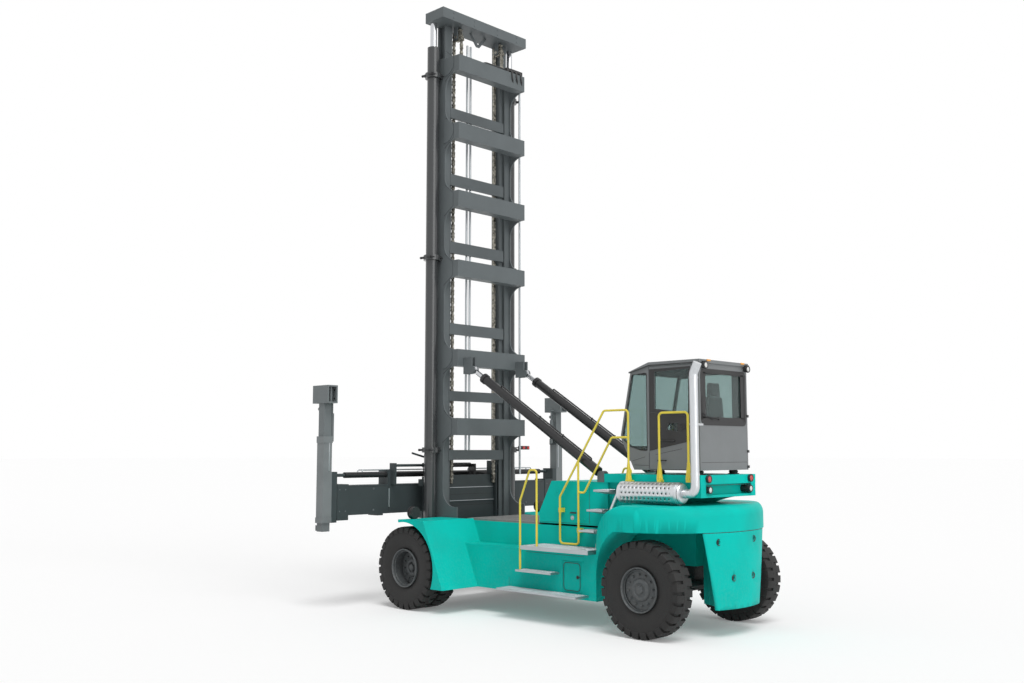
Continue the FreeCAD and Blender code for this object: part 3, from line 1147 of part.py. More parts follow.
def cross_members():
    """Box cross members behind the mast, the foot tie and the clevises of the tilt cylinders."""
    half = RAIL_OUT_Y - SIDE_PLATE_T
    x = (MEMBER_REAR_X, MEMBER_REAR_X + MEMBER_DEPTH)
    members = [block(x, (-half, half), (z, z + MEMBER_H)) for z in MEMBER_Z]
    ears = []
    r = TILT_EYE_R
    z5 = MEMBER_Z[4]
    for ear in clevis_ears():
        arm = block((TILT_EYE_X, MEMBER_REAR_X), ear, (TILT_EYE_Z - r, z5 + MEMBER_H / 2))
        ears += [arm, rod((TILT_EYE_X, ear[0], TILT_EYE_Z), (TILT_EYE_X, ear[1], TILT_EYE_Z), r)]
    y0, y1 = clevis_ears()[0][0], clevis_ears()[1][1]
    ears.append(rod((TILT_EYE_X, y0, TILT_EYE_Z), (TILT_EYE_X, y1, TILT_EYE_Z), TILT_PIN_R))
    clevis = fuse(*ears)
    members[4] = fuse(members[4], clevis, mirrored(clevis))
    chain_back = SHEAVE_X - SHEAVE_R - CHAIN_T - SEAT
    anchor = block((x[1], chain_back), (CHAIN_Y - CHAIN_W / 2, CHAIN_Y + CHAIN_W / 2),
                   (CHAIN_ANCHOR_Z - 120, CHAIN_ANCHOR_Z + 20))
    members[0] = fuse(members[0], anchor, mirrored(anchor))
    foot_half = RAIL_OUT_Y - RAIL_WEB_T
    foot = block((RAIL_REAR_X + RAIL_FLANGE_T, RAIL_FRONT_X - RAIL_FLANGE_T), (-foot_half, foot_half),
                 (OUTER_BOTTOM_Z, OUTER_BOTTOM_Z + FOOT_TIE_H))
    return group(*members, foot)


def lift_tube():
    """Left lift cylinder: tube with gland and bottom, on its shelf, with its clamps."""
    low = LIFT_SHELF_Z + LIFT_SHELF_T
    top = LIFT_TUBE_TOP_Z
    tube = ring((LIFT_X, LIFT_Y, low), (LIFT_X, LIFT_Y, top), LIFT_TUBE_R, LIFT_BORE_R)
    foot = rod((LIFT_X, LIFT_Y, low), (LIFT_X, LIFT_Y, low + LIFT_SHELF_T), LIFT_TUBE_R)
    gland = ring((LIFT_X, LIFT_Y, top - LIFT_TUBE_R), (LIFT_X, LIFT_Y, top), LIFT_TUBE_R,
                 LIFT_ROD_R + PIN_PLAY)
    shelf = block((LIFT_X - LIFT_TUBE_R, LIFT_X + LIFT_TUBE_R), (RAIL_OUT_Y, LIFT_Y + LIFT_TUBE_R),
                  (LIFT_SHELF_Z, low))
    clamps = []
    for z in CLAMP_Z:
        arm = block((LIFT_X - LIFT_TUBE_R, LIFT_X + LIFT_TUBE_R), (RAIL_OUT_Y, LIFT_Y), (z, z + CLAMP_H))
        collar = rod((LIFT_X, LIFT_Y, z), (LIFT_X, LIFT_Y, z + CLAMP_H), LIFT_TUBE_R + RAIL_WEB_T)
        hole = rod((LIFT_X, LIFT_Y, z - 1), (LIFT_X, LIFT_Y, z + CLAMP_H + 1), LIFT_TUBE_R - 1)
        clamps.append(fuse(arm, collar).cut(hole).cut(block((0, 2 * LIFT_X), (0, RAIL_OUT_Y), (z, z + CLAMP_H))))
    return fuse(tube, foot, gland, shelf, *clamps)


# ---- inner mast ---------------------------------------------------------------------------
def inner_rail():
    """Left I-section of the inner mast, with the pads that run in the outer channel."""
    z = (INNER_BOTTOM_Z, BEAM_Z[0])
    t = INNER_FLANGE_T
    web = block((INNER_REAR_X, INNER_FRONT_X), INNER_WEB_Y, z)
    rear = block((INNER_REAR_X, INNER_REAR_X + t), (INNER_IN_Y, INNER_OUT_Y), z)
    front = block((INNER_FRONT_X - t, INNER_FRONT_X), (INNER_IN_Y, INNER_OUT_Y), z)
    rear_face = RAIL_REAR_X + RAIL_FLANGE_T + SEAT
    front_face = RAIL_FRONT_X - RAIL_FLANGE_T - SEAT
    pads = []
    for low in (INNER_BOTTOM_Z, INNER_BOTTOM_Z + 900):
        pads.append(block((rear_face, INNER_REAR_X), (RAIL_IN_Y + 20, INNER_OUT_Y), (low, low + 200)))
        pads.append(block((INNER_FRONT_X, front_face), (RAIL_IN_Y + 20, INNER_OUT_Y), (low, low + 200)))
    return fuse(web, rear, front, *pads)


def inner_bars():
    """Flat bars across the back of the inner mast."""
    return group(*[block((BAR_REAR_X, INNER_REAR_X), (-BAR_HALF, BAR_HALF), z) for z in BAR_Z])


def top_beam():
    """Head beam over the inner mast, with the cheeks of the chain sheaves."""
    beam = block(BEAM_X, (-BEAM_HALF, BEAM_HALF), BEAM_Z)
    cheeks = []
    for y in (CHAIN_Y, -CHAIN_Y):
        for side in (-1, 1):
            inner = y + side * (CHAIN_W / 2 + CLEAR)
            outer = inner + side * CHEEK_T
            cheeks.append(block((SHEAVE_X - CHEEK_HALF, SHEAVE_X + CHEEK_HALF),
                                (min(inner, outer), max(inner, outer)), (SHEAVE_Z - CHEEK_HALF, BEAM_Z[0])))
    wide, narrow = BRACE_HALF
    foot_z = BEAM_Z[0] - BRACE_H
    brace = prism_x([(-wide, BEAM_Z[0]), (wide, BEAM_Z[0]), (narrow, foot_z), (-narrow, foot_z)],
                    BAR_REAR_X, BAR_REAR_X + BRACE_T)
    gap = wide - BRACE_WEB
    window = prism_x([(-gap, BEAM_Z[0]), (gap, BEAM_Z[0]), (0, foot_z + BRACE_WEB)],
                     BAR_REAR_X - 1, BAR_REAR_X + BRACE_T + 1)
    return fuse(beam, brace.cut(window), *cheeks)


def lift_rod():
    bar = rod((LIFT_X, LIFT_Y, PISTON_Z[0]), (LIFT_X, LIFT_Y, BEAM_Z[0]), LIFT_ROD_R)
    piston = rod((LIFT_X, LIFT_Y, PISTON_Z[0]), (LIFT_X, LIFT_Y, PISTON_Z[1]), LIFT_BORE_R - 1)
    return fuse(bar, piston)


def chain_sheave():
    """Left chain wheel on its pin between the cheeks."""
    half = CHAIN_W / 2
    y = CHAIN_Y
    wheel = rod((SHEAVE_X, y - half, SHEAVE_Z), (SHEAVE_X, y + half, SHEAVE_Z), SHEAVE_R)
    pin = rod((SHEAVE_X, y - half - CLEAR, SHEAVE_Z), (SHEAVE_X, y + half + CLEAR, SHEAVE_Z),
              SHEAVE_PIN_R)
    return fuse(wheel, pin)


def lift_chain():
    """Left chain: over the sheave, down the front to the carriage and down the back to its anchor."""
    half = CHAIN_W / 2
    y = (CHAIN_Y - half, CHAIN_Y + half)
    outer = SHEAVE_R + CHAIN_T
    wrap = ring((SHEAVE_X, y[0], SHEAVE_Z), (SHEAVE_X, y[1], SHEAVE_Z), outer, SHEAVE_R)
    wrap = wrap.common(block((SHEAVE_X - outer, SHEAVE_X + outer), y, (SHEAVE_Z, SHEAVE_Z + outer)))
    front = block((SHEAVE_X + SHEAVE_R, SHEAVE_X + outer), y, (CHAIN_LOW_Z, SHEAVE_Z))
    rear = block((SHEAVE_X - outer, SHEAVE_X - SHEAVE_R), y, (CHAIN_ANCHOR_Z, SHEAVE_Z))
    return fuse(wrap, front, rear)


# ---- carriage -----------------------------------------------------------------------------
def carriage_frame():
    """Carriage: side plates with rollers, back plate and the two beams the spreader slides on."""
    side = block((INNER_REAR_X + 40, GUIDE_X[0]), CARRIAGE_SIDE_Y, CARRIAGE_Z)
    roller_x = (INNER_REAR_X + INNER_FRONT_X) / 2
    pieces = [side]
    for z in (CARRIAGE_Z[0] + 120, CARRIAGE_Z[1] - 120):
        pieces.append(rod((roller_x, CARRIAGE_SIDE_Y[0], z), (roller_x, INNER_IN_Y + CLEAR, z), 40))
        pieces.append(rod((roller_x, INNER_IN_Y + CLEAR, z), (roller_x, INNER_WEB_Y[0] - CLEAR, z), ROLLER_R))
    cheek = fuse(*pieces)
    y_in = CARRIAGE_SIDE_Y[0]
    back = block((CARRIAGE_BACK_X, CARRIAGE_BACK_X + 40), (-y_in, y_in), (1400, 2200))
    beams = []
    for z in (GUIDE_LOW_Z, GUIDE_HIGH_Z):
        beams.append(block(GUIDE_X, (-GUIDE_HALF, GUIDE_HALF), z))
        beams.append(block((CARRIAGE_BACK_X, GUIDE_X[0]), (-y_in, y_in), z))
    chain_front = SHEAVE_X + SHEAVE_R + CHAIN_T + SEAT
    anchor = block((chain_front, CARRIAGE_BACK_X), (CHAIN_Y - CHAIN_W / 2, CHAIN_Y + CHAIN_W / 2),
                   (CHAIN_LOW_Z - 40, CHAIN_LOW_Z + 80))
    hose_arm = prism_x(HOSE_ARM, *HOSE_ARM_X)
    return fuse(back, cheek, mirrored(cheek), anchor, mirrored(anchor), hose_arm, *beams)


def shift_cylinder():
    """Side-shift cylinder on the upper beam of the carriage."""
    low, high = SHIFT_CYL_Y
    tube = ring((SHIFT_CYL_X, low, SHIFT_CYL_Z), (SHIFT_CYL_X, high, SHIFT_CYL_Z), SHIFT_CYL_R, SHIFT_BORE_R)
    post = []
    for y in ((low, low + SHIFT_POST_W), (high - SHIFT_POST_W, high)):
        post.append(block((GUIDE_X[0], GUIDE_X[0] + CLAW_LIP_GAP - CLEAR), y,
                          (GUIDE_HIGH_Z[1], SHIFT_CYL_Z + SHIFT_POST_W / 2)))
        post.append(block((GUIDE_X[0], SHIFT_CYL_X), y,
                          (GUIDE_HIGH_Z[1] + CLAW_LIP_T + CLEAR, SHIFT_CYL_Z + SHIFT_POST_W / 2)))
    hole = rod((SHIFT_CYL_X, low - 1, SHIFT_CYL_Z), (SHIFT_CYL_X, high + 1, SHIFT_CYL_Z), SHIFT_BORE_R)
    return fuse(tube, *post).cut(hole)


# ---- spreader -----------------------------------------------------------------------------
def tunnel_z(upper):
    """Height of the middle of the upper or the lower boom."""
    middle = (FRAME_Z[0] + FRAME_Z[1]) / 2
    offset = (FRAME_Z[1] - FRAME_Z[0]) / 4
    return middle + offset if upper else middle - offset


def boom_section(upper, half):
    """Square around the line of a boom, as x and z ranges."""
    x = (FRAME_X[0] + FRAME_X[1]) / 2
    z = tunnel_z(upper)
    return (x - half, x + half), (z - half, z + half)


def spreader_frame():
    """Spreader frame: twin tunnels for the booms, end collars, saddles and slide claws."""
    body = block(FRAME_X, (-FRAME_HALF, FRAME_HALF), FRAME_Z)
    collar = block((FRAME_X[0] - 10, FRAME_X[1] + 10), (FRAME_HALF - COLLAR_W, FRAME_HALF),
                   (FRAME_Z[0] - 2 * COLLAR_EXTRA, FRAME_Z[1] + COLLAR_EXTRA / 2))
    saddle = block(FRAME_X, SADDLE_Y, (FRAME_Z[1], EXTEND_CYL_Z + EXTEND_CYL_R + SADDLE_TOP))
    claws = []
    for y in CLAW_Y:
        wide = (y - CLAW_HALF, y + CLAW_HALF)
        low_z, high_z = GUIDE_LOW_Z[0] - CLAW_LIP_T, GUIDE_HIGH_Z[1] + CLAW_LIP_T
        lip_x = (GUIDE_X[0] + CLAW_LIP_GAP, FRAME_X[0])
        plate = block((GUIDE_X[1] + SEAT, FRAME_X[0]), wide, (low_z, high_z))
        top = block(lip_x, wide, (GUIDE_HIGH_Z[1] + SEAT, high_z))
        low = block(lip_x, wide, (low_z, GUIDE_LOW_Z[0] - SEAT))
        claws.append(fuse(plate, top, low))
    pad = block(FRAME_X, PAD_Y, (FRAME_Z[0] - PAD_H, FRAME_Z[0]))
    half = fuse(collar, saddle, pad, *claws)
    ear = block((SHIFT_CYL_X - SHIFT_POST_W, FRAME_X[0] + SADDLE_TOP), SHIFT_EAR_Y,
                (FRAME_Z[1], SHIFT_CYL_Z + SHIFT_CYL_R))
    frame = fuse(body, half, mirrored(half), ear)
    for upper in (False, True):
        x, z = boom_section(upper, BOOM_W / 2 + BOOM_SLACK)
        frame = frame.cut(block(x, (-FRAME_HALF + COLLAR_W, FRAME_HALF - COLLAR_W), z))
        x, z = boom_section(upper, BOOM_W / 2 + SEAT)
        frame = frame.cut(block(x, (-FRAME_HALF - 1, FRAME_HALF + 1), z))
    shift_rod = rod((SHIFT_CYL_X, 0, SHIFT_CYL_Z), (SHIFT_CYL_X, SHIFT_EAR_Y[1], SHIFT_CYL_Z), SHIFT_ROD_R)
    frame = fuse(frame, shift_rod)
    for x in extend_x():
        frame = frame.cut(rod((x, -FRAME_HALF, EXTEND_CYL_Z), (x, FRAME_HALF, EXTEND_CYL_Z), EXTEND_CYL_R))
    return frame


def extend_x():
    """The two cylinders that push the booms out lie side by side."""
    middle = (FRAME_X[0] + FRAME_X[1]) / 2
    return middle - EXTEND_CYL_DX, middle + EXTEND_CYL_DX


def extend_tubes():
    """Tubes of the extension cylinders, held in the saddles."""
    tubes = []
    for x, side in zip(extend_x(), (1, -1)):
        start, end = [side * y for y in EXTEND_CYL_Y]
        tubes.append(ring((x, start, EXTEND_CYL_Z), (x, end, EXTEND_CYL_Z), EXTEND_CYL_R, EXTEND_BORE_R))
    return group(*tubes)


def boom(side):
    """Boom with its end plate, sleeve and the rod that pushes it; side is 1 on the left."""
    upper = side < 0
    x, z = boom_section(upper, BOOM_W / 2)
    bx, bz = boom_section(upper, BOOM_W / 2 - BOOM_WALL)
    end_y = ARM_Y - SLEEVE_W / 2
    tube = block(x, (BOOM_INNER_Y, end_y - 30), z).cut(block(bx, (BOOM_INNER_Y, end_y - 60), bz))
    s = SLEEVE_W / 2
    plate = block((ARM_X - s, FRAME_X[1]), (FRAME_HALF + CLEAR, end_y), (SLEEVE_Z[0], EXTEND_CYL_Z + 60))
    sleeve = block((ARM_X - s, ARM_X + s), (ARM_Y - s, ARM_Y + s), SLEEVE_Z)
    collars = [block((ARM_X - s - 8, ARM_X + s + 8), (ARM_Y - s - 8, ARM_Y + s + 8), z)
               for z in ((SLEEVE_Z[1] - 110, SLEEVE_Z[1]), (SLEEVE_Z[0], SLEEVE_Z[0] + 90))]
    x_rod = extend_x()[0] if side > 0 else extend_x()[1]
    push = rod((x_rod, EXTEND_PISTON_Y, EXTEND_CYL_Z), (x_rod, FRAME_HALF + CLEAR, EXTEND_CYL_Z),
               EXTEND_ROD_R)
    whole = fuse(tube, plate, sleeve, push, *collars)
    h = LEG_W / 2 + SEAT
    whole = whole.cut(block((ARM_X - h, ARM_X + h), (ARM_Y - h, ARM_Y + h), (0, SLEEVE_Z[1] + 1)))
    return whole if side > 0 else mirrored(whole)


def leg(side):
    """Telescoping leg with its head, side pin and lower foot; side is 1 on the left."""
    h = LEG_W / 2
    tube = block((ARM_X - h, ARM_X + h), (ARM_Y - h, ARM_Y + h), LEG_Z)
    head = block(HEAD_X, (ARM_Y - HEAD_Y / 2, ARM_Y + HEAD_Y / 2), HEAD_Z)
    pin = rod((ARM_X + h, ARM_Y, LOCK_PIN_Z), (ARM_X + h + LOCK_PIN_L, ARM_Y, LOCK_PIN_Z), LOCK_PIN_R)
    foot = block((ARM_X + h, ARM_X + h + FOOT_L), (ARM_Y - FOOT_HALF, ARM_Y + FOOT_HALF),
                 (LEG_Z[0] + CLEAR, LEG_Z[0] + CLEAR + FOOT_L))
    inner = HEAD_Y / 2 - HEAD_WALL
    recess_z = (HEAD_Z[0] + HEAD_WALL, HEAD_Z[1] - HEAD_WALL)
    recess_x = (HEAD_X[0] - 1, HEAD_X[0] + HEAD_RECESS_DEPTH)
    head = head.cut(block(recess_x, (ARM_Y - inner, ARM_Y + inner), recess_z))
    bar_x = HEAD_X[0] + HEAD_RECESS_DEPTH / 2
    bar = rod((bar_x, ARM_Y, HEAD_Z[0] + 1), (bar_x, ARM_Y, HEAD_Z[1] - 1), HEAD_ROD_R)
    y = ARM_Y - SIDE_CYL_Y
    barrel = rod((ARM_X, y, SIDE_CYL_Z[0]), (ARM_X, y, SIDE_CYL_Z[1]), SIDE_CYL_R)
    stem = rod((ARM_X, y, SIDE_CYL_Z[1]), (ARM_X, y, HEAD_Z[0] + 2 * HEAD_WALL), SIDE_ROD_R)
    hanger = block((ARM_X - SIDE_CYL_R, ARM_X + SIDE_CYL_R), (y - SIDE_CYL_R, ARM_Y - HEAD_Y / 2),
                   (HEAD_Z[0] + HEAD_WALL, HEAD_Z[0] + 2 * HEAD_WALL))
    whole = fuse(tube, head, pin, foot, bar, barrel, stem, hanger)
    return whole if side > 0 else mirrored(whole)


# ---- the whole machine --------------------------------------------------------------------
def parts():
    """Every node by name."""
    return {
        "chassis_frame": chassis_frame(),
        "deck_plate": deck_plate(),
        "front_axle": front_axle(),
        "front_mudguards": both(front_mudguard()),
        "side_boxes": group(side_box(True), mirrored(side_box(False))),
        "service_hatch": service_hatch(),
        "hood": hood(),
        "engine_block": engine_block(),
        "rear_cover": rear_cover(),
        "counterweight": counterweight(),
        "steer_axle": steer_axle(),
        "knuckle_left": knuckle(),
        "knuckle_right": mirrored(knuckle()),
        "access_steps": access_steps(),
        "handrails": handrails(),
        "cab_gate": gate(),
        "cab_shell": cab_shell(),
        "cab_roof": cab_roof(),
        "cab_glass": cab_glass(),
        "cab_door": cab_door(),
        "door_glass": door_glass(),
        "cab_seat": cab_seat(),
        "cab_console": cab_console(),
        "exhaust": exhaust(),
        "head_lamps": head_lamps(),
        "tail_lamps": tail_lamps(),
        "work_lamps": work_lamps(),
        "tilt_anchors": tilt_anchors(),
        "tilt_tubes": both(tilt_tube()),
        "tilt_rods": both(tilt_rod()),
        "outer_rails": both(outer_rail()),
        "mast_side_plates": both(side_plate()),
        "mast_cross_members": cross_members(),
        "lift_tubes": both(lift_tube()),
        "inner_rails": both(inner_rail()),
        "inner_bars": inner_bars(),
        "top_beam": top_beam(),
        "lift_rods": both(lift_rod()),
        "chain_sheaves": both(chain_sheave()),
        "lift_chains": both(lift_chain()),
        "carriage_frame": carriage_frame(),
        "shift_cylinder": shift_cylinder(),
        "spreader_frame": spreader_frame(),
        "extend_tubes": extend_tubes(),
        "boom_left": boom(1),
        "boom_right": boom(-1),
        "leg_left": leg(1),
        "leg_right": leg(-1),
        "tyre_front_left": twin_tyres(),
        "tyre_front_right": mirrored(twin_tyres()),
        "tyre_rear_left": rear_tyre(),
        "tyre_rear_right": mirrored(rear_tyre()),
        "rim_front_left": front_rim(),
        "rim_front_right": mirrored(front_rim()),
        "rim_rear_left": rear_rim(),
        "rim_rear_right": mirrored(rear_rim()),
    }


def main():
    os.makedirs("parts", exist_ok=True)
    for name, shape in parts().items():
        shape.translate(V(SHIFT_X, 0, 0))
        shape.exportStep(f"parts/{name}.step")


main()
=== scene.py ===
"""Finishes and fittings of an empty container handler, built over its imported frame.

Sizes are in metres. The front axle is at AXLE_X, +X is forwards, +Y is left and z = 0 is ground.
"""
import json
import math

import bmesh
import bpy
from mathutils import Matrix, Vector

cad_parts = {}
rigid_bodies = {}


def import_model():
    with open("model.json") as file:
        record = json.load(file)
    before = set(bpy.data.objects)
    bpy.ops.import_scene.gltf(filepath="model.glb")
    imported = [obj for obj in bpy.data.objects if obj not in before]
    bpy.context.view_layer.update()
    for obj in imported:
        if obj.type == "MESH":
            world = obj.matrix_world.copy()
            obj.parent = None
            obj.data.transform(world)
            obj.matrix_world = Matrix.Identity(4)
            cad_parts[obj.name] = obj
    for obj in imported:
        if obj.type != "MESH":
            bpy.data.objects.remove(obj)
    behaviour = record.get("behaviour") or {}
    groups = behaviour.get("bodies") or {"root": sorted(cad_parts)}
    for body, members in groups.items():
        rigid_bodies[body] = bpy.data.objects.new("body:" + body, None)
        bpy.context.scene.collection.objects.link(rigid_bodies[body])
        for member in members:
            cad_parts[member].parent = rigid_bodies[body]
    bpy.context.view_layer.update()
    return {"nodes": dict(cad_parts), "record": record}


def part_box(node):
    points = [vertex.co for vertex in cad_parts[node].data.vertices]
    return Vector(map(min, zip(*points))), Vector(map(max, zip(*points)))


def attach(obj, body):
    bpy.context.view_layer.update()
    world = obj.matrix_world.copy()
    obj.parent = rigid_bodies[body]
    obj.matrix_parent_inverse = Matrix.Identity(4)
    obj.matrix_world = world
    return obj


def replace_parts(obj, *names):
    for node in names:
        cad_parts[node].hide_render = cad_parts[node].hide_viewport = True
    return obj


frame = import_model()

bl_info = {
    "name": "Empty container handler",
    "version": (1, 0, 0),
    "blender": (4, 5, 0),
    "location": "3D View > Sidebar > Handler",
    "description": "Tyres, chains, cab, exhaust, rails and finishes of an empty container handler",
    "category": "Object",
}

AXLE_X = 2.2             # front axle
HOOD_SIDE = 0.7          # flat sides of the hood, from the middle
HULL_SIDE = 1.05         # flat sides of the side boxes
SIDE_PLATE = 0.85        # outer faces of the mast's side plates
MEMBER_FEET = (9.473, 8.218, 6.968, 5.708, 4.115, 2.905)
MEMBER_HEIGHT = 0.295
CLAMP_FEET = (9.4, 6.03, 2.6)
LIFT_X, LIFT_Y = 2.5, 0.985      # left lift cylinder from above
CARRIAGE_REAR = 2.5      # rear face of the carriage's plate
SPREADER_REAR = 2.925    # rear face of the spreader's frame
SEAM_PROUD = 0.0012      # how far a joint line stands out of its face


def ahead(x):
    """Place along X of a point given ahead of the front axle."""
    return AXLE_X + x


SLOT_OF = {p["node"]: p["material_slot"] for p in frame["record"]["subparts"] if "node" in p}


# ---- nodes --------------------------------------------------------------------------------
def wire(tree, value, socket):
    """Feeds a socket from another socket or from a plain value."""
    if isinstance(value, bpy.types.NodeSocket):
        tree.links.new(value, socket)
    else:
        socket.default_value = value


def add_node(tree, kind, inputs=None, **settings):
    made = tree.nodes.new(kind)
    for name, value in settings.items():
        setattr(made, name, value)
    for name, value in (inputs or {}).items():
        wire(tree, value, made.inputs[name])
    return made


# ---- finishes -----------------------------------------------------------------------------
class Finish:
    """A procedural material, put together node by node."""

    def __init__(self, name, colour, roughness, metallic=0.0):
        self.material = bpy.data.materials.new(name)
        self.material.use_nodes = True
        self.tree = self.material.node_tree
        self.shader = self.tree.nodes["Principled BSDF"]
        self.set("Base Color", (*colour, 1.0))
        self.set("Roughness", roughness)
        self.set("Metallic", metallic)
        self.place = self.node("ShaderNodeTexCoord").outputs["Object"]

    def set(self, socket, value):
        wire(self.tree, value, self.shader.inputs[socket])

    def done(self, colour, roughness=None, bump=None):
        """Joins the patterns to the shader; a bump is a height, a strength and a distance."""
        self.set("Base Color", colour)
        if roughness is not None:
            self.set("Roughness", roughness)
        if bump is not None:
            made = self.node("ShaderNodeBump", dict(zip(("Height", "Strength", "Distance"), bump)))
            self.set("Normal", made.outputs["Normal"])
        return self.material

    def node(self, kind, inputs=None, **settings):
        return add_node(self.tree, kind, inputs, **settings)

    def texture(self, kind, where, inputs, **settings):
        return self.node(kind, {"Vector": where or self.place, **inputs}, **settings).outputs

    def stretched(self, scale, turn=(0, 0, 0)):
        return self.texture("ShaderNodeMapping", None, {"Scale": scale, "Rotation": turn})[0]

    def noise(self, scale, detail, where=None):
        inputs = {"Scale": scale, "Detail": detail, "Roughness": 0.6}
        return self.texture("ShaderNodeTexNoise", where, inputs)["Fac"]

    def cells(self, scale, where=None):
        return self.texture("ShaderNodeTexVoronoi", where, {"Scale": scale})["Distance"]

    def waves(self, scale, direction):
        return self.texture("ShaderNodeTexWave", None, {"Scale": scale}, bands_direction=direction)["Fac"]

    def spread(self, value, low, high, out_low=0.0, out_high=1.0):
        """Takes a range of values to another range."""
        return self.node("ShaderNodeMapRange", {"Value": value, "From Min": low, "From Max": high,
                                                "To Min": out_low, "To Max": out_high}).outputs["Result"]

    def math(self, operation, a, b=0.0):
        return self.node("ShaderNodeMath", {0: a, 1: b}, operation=operation).outputs[0]

    def blend(self, fac, a, b):
        """Colour a where fac is 0 and colour b where it is 1."""
        a, b = (c if isinstance(c, bpy.types.NodeSocket) else (*c, 1.0) for c in (a, b))
        return self.node("ShaderNodeMix", {0: fac, 6: a, 7: b}, data_type="RGBA").outputs[2]

    def axis(self, name):
        return self.node("ShaderNodeSeparateXYZ", {0: self.place}).outputs[name]


def darker(colour, share):
    return tuple(c * share for c in colour)


def mixed(colour, other, share):
    return tuple(a + (b - a) * share for a, b in zip(colour, other))


DUST = (0.34, 0.31, 0.27)
BRUSHED = (1, 1, 0.08)   # draw marks lie along the third axis


PEEL_DEPTH = 0.0004      # of the orange peel in sprayed paint
PEEL_SCALE = 420


def paint(name, colour, roughness, coat=0.0, dust=0.12, grain=0.25, shine=0.3):
    """Sprayed paint: fine orange peel, slight patches, and road dust towards the ground."""
    f = Finish(name, colour, roughness)
    f.set("Coat Weight", coat)
    f.set("Coat Roughness", 0.12)
    f.set("Specular IOR Level", shine)
    patch = f.spread(f.noise(1.3, 3), 0.35, 0.7)
    body = f.blend(patch, colour, mixed(darker(colour, 0.86), (0.2, 0.2, 0.2), 0.03))
    low = f.spread(f.axis("Z"), 1.5, 0.2)
    speck = f.spread(f.noise(26, 6), 0.42, 0.72)
    dirt = f.math("MULTIPLY", f.math("MULTIPLY", low, speck), dust)
    gloss = f.spread(f.math("ADD", f.noise(9, 5), dirt), 0.3, 0.9, roughness * 0.88, roughness * 1.3)
    return f.done(f.blend(dirt, body, DUST), gloss, (f.noise(PEEL_SCALE, 2), grain, PEEL_DEPTH))


def bare_metal(name, colour, roughness, stretch, streak=0.25, stain=0.2):
    """Metal with fine draw marks along one direction and a little staining."""
    f = Finish(name, colour, roughness, 1.0)
    lines = f.noise(60, 5, f.stretched(stretch))
    patch = f.spread(f.noise(3.2, 5), 0.35, 0.75)
    tone = f.blend(f.math("MULTIPLY", patch, stain), colour, darker(colour, 0.45))
    tone = f.blend(f.math("MULTIPLY", lines, streak), tone, darker(colour, 0.6))
    return f.done(tone, f.spread(lines, 0.25, 0.75, roughness * 0.7, roughness * 1.45), (lines, 0.12, 0.0006))


POST_Y = 2.785           # inner side of the posts at the ends of the booms
SHIFT_GLAND_Y = 0.86     # where the side-shift rod leaves its cylinder


def spreader_paint(beam, end):
    """Dark satin paint of the beams, paler on the end posts."""
    f = Finish("spreader_satin", beam, 0.42)
    f.set("Specular IOR Level", 0.25)
    tone = f.blend(f.math("GREATER_THAN", f.math("ABSOLUTE", f.axis("Y")), POST_Y), beam, end)
    tone = f.blend(f.spread(f.noise(1.3, 3), 0.35, 0.7, 0.0, 0.3), tone, (0.03, 0.035, 0.036))
    return f.done(tone, f.spread(f.noise(9, 5), 0.3, 0.9, 0.36, 0.54),
                  (f.noise(PEEL_SCALE, 2), 0.35, PEEL_DEPTH))


def shift_rod():
    """Black cylinder whose rod is bright past its gland."""
    f = Finish("shift_rod", (0.5, 0.51, 0.52), 0.25)
    rod = f.math("GREATER_THAN", f.axis("Y"), SHIFT_GLAND_Y)
    f.set("Metallic", rod)
    return f.done(f.blend(rod, (0.022, 0.022, 0.023), (0.72, 0.73, 0.75)),
                  f.spread(f.noise(20, 4), 0.3, 0.7, 0.18, 0.34))


def exhaust_core():
    """Bright pipe, painted near-black as shade where the muffler's shell lies behind its guard."""
    f = Finish("exhaust_core", (0.7, 0.72, 0.74), 0.34, 1.0)
    x = f.axis("X")
    # Painted shade: the stretch under the guard is made near-black so that the guard's holes look dark.
    behind = f.math("MULTIPLY", f.math("GREATER_THAN", x, ahead(-4.99)), f.math("LESS_THAN", x, ahead(-3.93)))
    lines = f.noise(60, 5, f.stretched(BRUSHED))
    tone = f.blend(behind, f.blend(lines, (0.74, 0.76, 0.78), (0.5, 0.52, 0.54)), (0.03, 0.032, 0.034))
    return f.done(tone, f.spread(lines, 0.25, 0.75, 0.25, 0.5), (lines, 0.12, 0.0006))


def greased_chain():
    f = Finish("greased_chain", (0.2, 0.19, 0.16), 0.42, 0.75)
    smear = f.spread(f.noise(24, 6), 0.36, 0.66)
    return f.done(f.blend(smear, (0.5, 0.48, 0.41), (0.06, 0.055, 0.048)), f.spread(smear, 0, 1, 0.5, 0.24),
                  (f.noise(150, 4), 0.3, 0.0008))


def tyre_rubber():
    """Black rubber, greyer where the road dust sits in its grain."""
    f = Finish("tyre_rubber", (0.012, 0.012, 0.013), 0.62)
    f.set("Specular IOR Level", 0.35)
    patch = f.spread(f.noise(5.5, 6), 0.3, 0.75)
    speck = f.math("MULTIPLY", f.spread(f.noise(90, 5), 0.4, 0.8), 0.25)
    worn = f.blend(patch, (0.0105, 0.0105, 0.011), (0.024, 0.0235, 0.023))
    return f.done(f.blend(speck, worn, (0.06, 0.057, 0.053)), f.spread(patch, 0, 1, 0.55, 0.76),
                  (f.noise(260, 3), 0.35, 0.0008))


def hose_rubber():
    f = Finish("hose_rubber", (0.014, 0.014, 0.015), 0.48)
    return f.done(f.blend(f.noise(30, 4), (0.011, 0.011, 0.012), (0.03, 0.03, 0.031)),
                  bump=(f.noise(300, 2), 0.3, 0.0006))


def moulded_plastic():
    colour = (0.018, 0.018, 0.019)
    f = Finish("moulded_plastic", colour, 0.5)
    return f.done(f.blend(f.spread(f.noise(4, 3), 0.3, 0.7), colour, mixed(colour, (0.1, 0.1, 0.1), 0.08)),
                  bump=(f.cells(900), 0.22, 0.0005))


